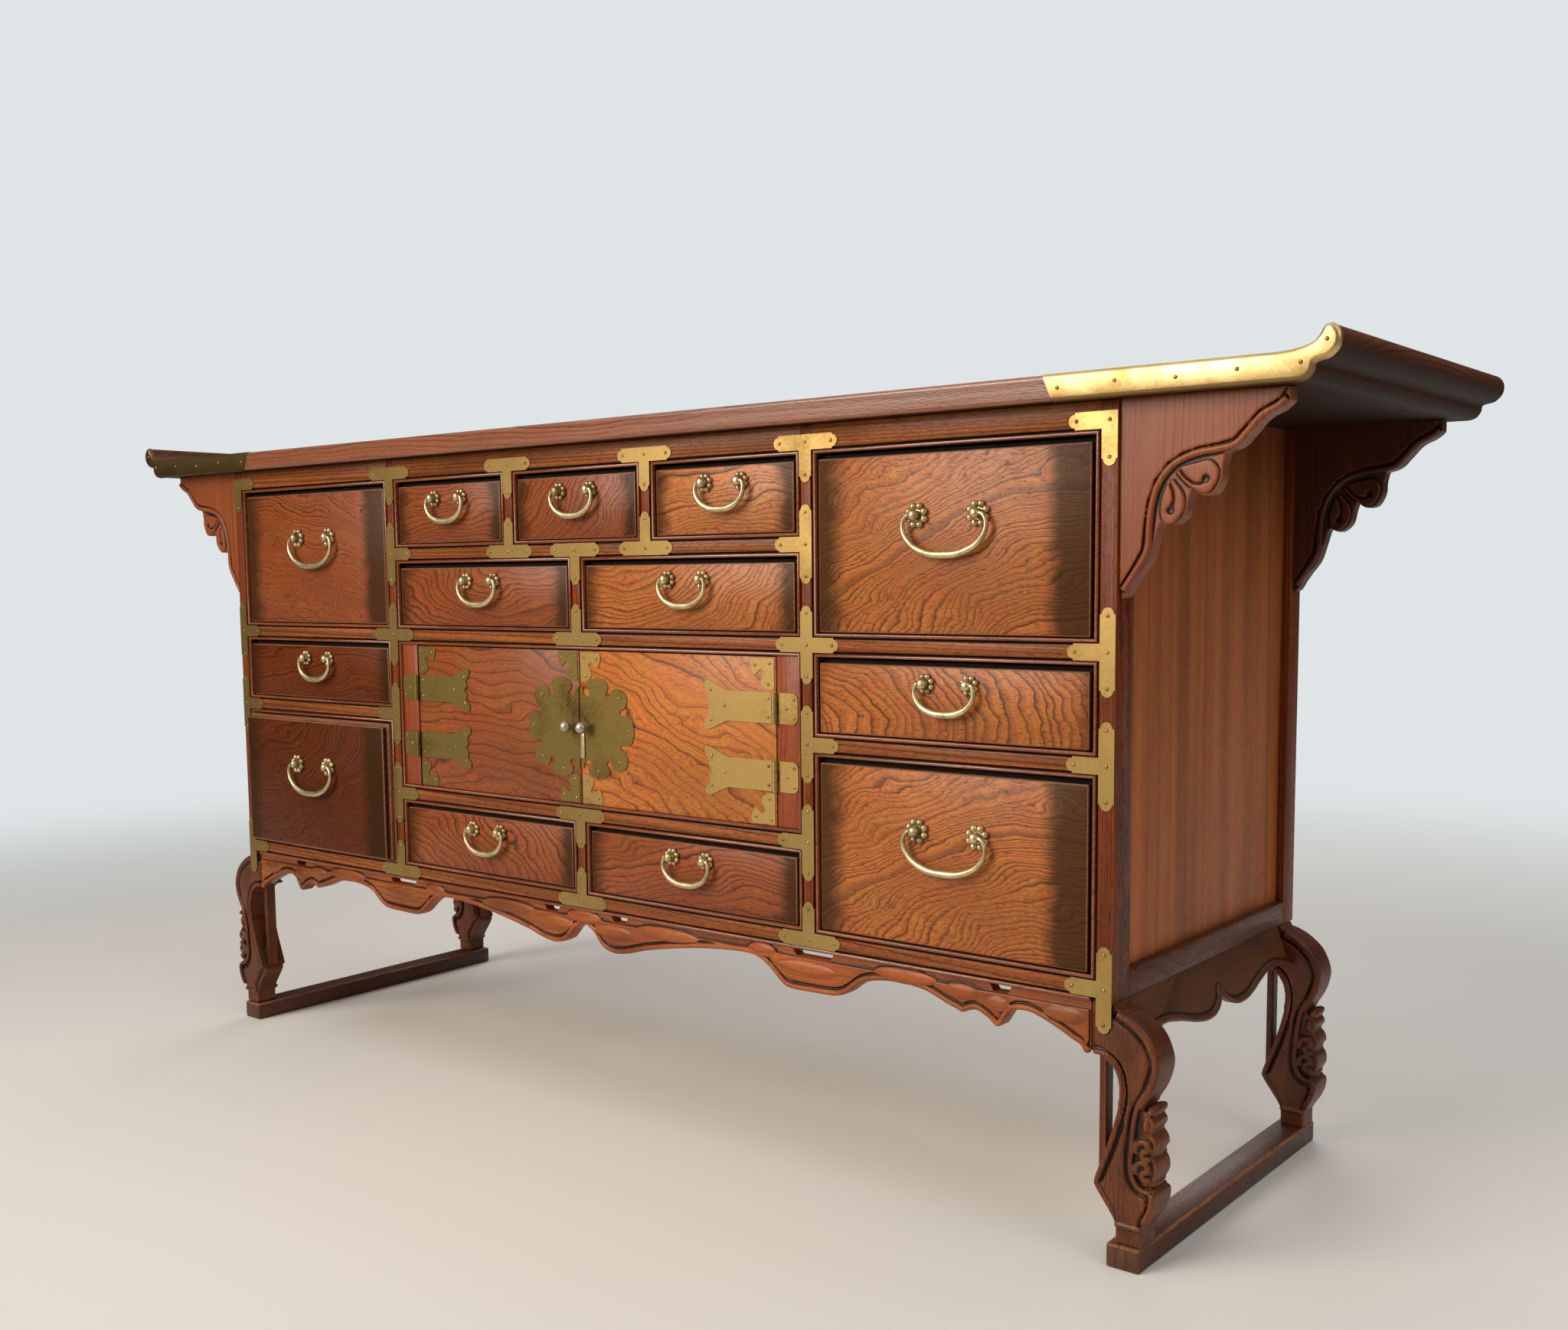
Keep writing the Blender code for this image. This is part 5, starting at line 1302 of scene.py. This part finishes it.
# Floor, light and camera: a plain pale floor that fades into the backdrop. A window at the upper left front
# lights the piece, with weak windows at the right and behind, and a wide pale ceiling.
bpy.ops.object.select_all(action="DESELECT")
bpy.ops.mesh.primitive_plane_add(size=30.0, location=(0.0, 0.0, 0.0))
floor = bpy.context.object
floor.name = "pale_floor"
floor_paint = bpy.data.materials.new("pale_matt_paint")
floor_paint.use_nodes = True
floor_shader = floor_paint.node_tree.nodes["Principled BSDF"]
floor_shader.inputs["Base Color"].default_value = hex_colour("#dedbd6")
floor_shader.inputs["Roughness"].default_value = 0.7
far_off = add_node(floor_paint.node_tree, "ShaderNodeVectorMath", {
    0: add_node(floor_paint.node_tree, "ShaderNodeTexCoord").outputs["Object"]},
    operation="LENGTH").outputs[1]
lost = add_node(floor_paint.node_tree, "ShaderNodeMapRange", {
    "Value": far_off, "From Min": 1.2, "From Max": 3.4}, interpolation_type="SMOOTHSTEP").outputs[0]
looked_at = add_node(floor_paint.node_tree, "ShaderNodeLightPath").outputs["Is Camera Ray"]
share = add_node(floor_paint.node_tree, "ShaderNodeMath", {0: lost, 1: looked_at},
                 operation="MULTIPLY").outputs[0]
haze = add_node(floor_paint.node_tree, "ShaderNodeEmission", {"Color": hex_colour("#dfe5e6")}).outputs[0]
faded = add_node(floor_paint.node_tree, "ShaderNodeMixShader", {
    0: share, 1: floor_shader.outputs[0], 2: haze}).outputs[0]
floor_paint.node_tree.links.new(faded, floor_paint.node_tree.nodes["Material Output"].inputs[0])
floor.data.materials.append(floor_paint)

world = bpy.data.worlds.new("soft_daylight")
bpy.context.scene.world = world
world.use_nodes = True
sky = world.node_tree
seen = add_node(sky, "ShaderNodeLightPath")
fill = sky.nodes["Background"]
fill.inputs["Color"].default_value = hex_colour("#e6e6e4")
mirrored = add_node(sky, "ShaderNodeMath", {0: seen.outputs["Is Glossy Ray"], 1: -0.15, 2: 0.22},
                    operation="MULTIPLY_ADD")
sky.links.new(mirrored.outputs[0], fill.inputs["Strength"])
backdrop = add_node(sky, "ShaderNodeBackground", {"Color": hex_colour("#dfe5e6"), "Strength": 1.0})
shown = add_node(sky, "ShaderNodeMixShader", {
    0: seen.outputs["Is Camera Ray"], 1: fill.outputs[0], 2: backdrop.outputs[0]})
sky.links.new(shown.outputs[0], sky.nodes["World Output"].inputs[0])


def softbox(name, place, aim, size, power, colour, beam):
    """A square lamp at a place, turned to what it lights, with a grid that narrows its beam."""
    lamp = bpy.data.lights.new(name, "AREA")
    lamp.size = size
    lamp.energy = power
    lamp.spread = math.radians(beam)
    lamp.color = hex_colour(colour)[:3]
    stand = bpy.data.objects.new(name, lamp)
    stand.location = place
    stand.rotation_euler = (Vector(aim) - Vector(place)).to_track_quat("-Z", "Y").to_euler()
    bpy.context.scene.collection.objects.link(stand)


softbox("window", (-0.9, -2.9, 1.9), (0.25, 0.0, 0.55), 2.2, 29.5, "#fff4e6", 80)
softbox("side_window", (3.0, -0.6, 1.9), (0.5, 0.0, 0.45), 1.8, 4.3, "#fff8f0", 80)
softbox("rear_window", (-1.6, 3.4, 2.0), (0.0, 0.2, 0.5), 2.2, 7.0, "#fffaf4", 80)
softbox("ceiling", (0.0, 0.8, 3.8), (0.0, 0.8, 0.0), 7.0, 125.0, "#ffffff", 180)

CAMERA_PLACE = (1.387, -1.574, 0.669)
YAW, PITCH, ROLL = math.radians(39.03), math.radians(5.73), math.radians(-0.6)
ahead = Vector((-math.sin(YAW) * math.cos(PITCH), math.cos(YAW) * math.cos(PITCH), -math.sin(PITCH)))
level_right = Vector((math.cos(YAW), math.sin(YAW), 0.0))
level_up = level_right.cross(ahead)
right = math.cos(ROLL) * level_right + math.sin(ROLL) * level_up
up = math.cos(ROLL) * level_up - math.sin(ROLL) * level_right
camera_data = bpy.data.cameras.new("photograph_view")
camera_data.sensor_width = 36.0
camera_data.lens = 36.48
camera_data.shift_x = 0.01035
camera_data.shift_y = 0.0430
camera = bpy.data.objects.new("photograph_view", camera_data)
camera.matrix_world = Matrix.Translation(CAMERA_PLACE) @ Matrix((right, up, -ahead)).transposed().to_4x4()
bpy.context.scene.collection.objects.link(camera)
bpy.context.scene.camera = camera
bpy.context.scene.view_settings.view_transform = "Standard"
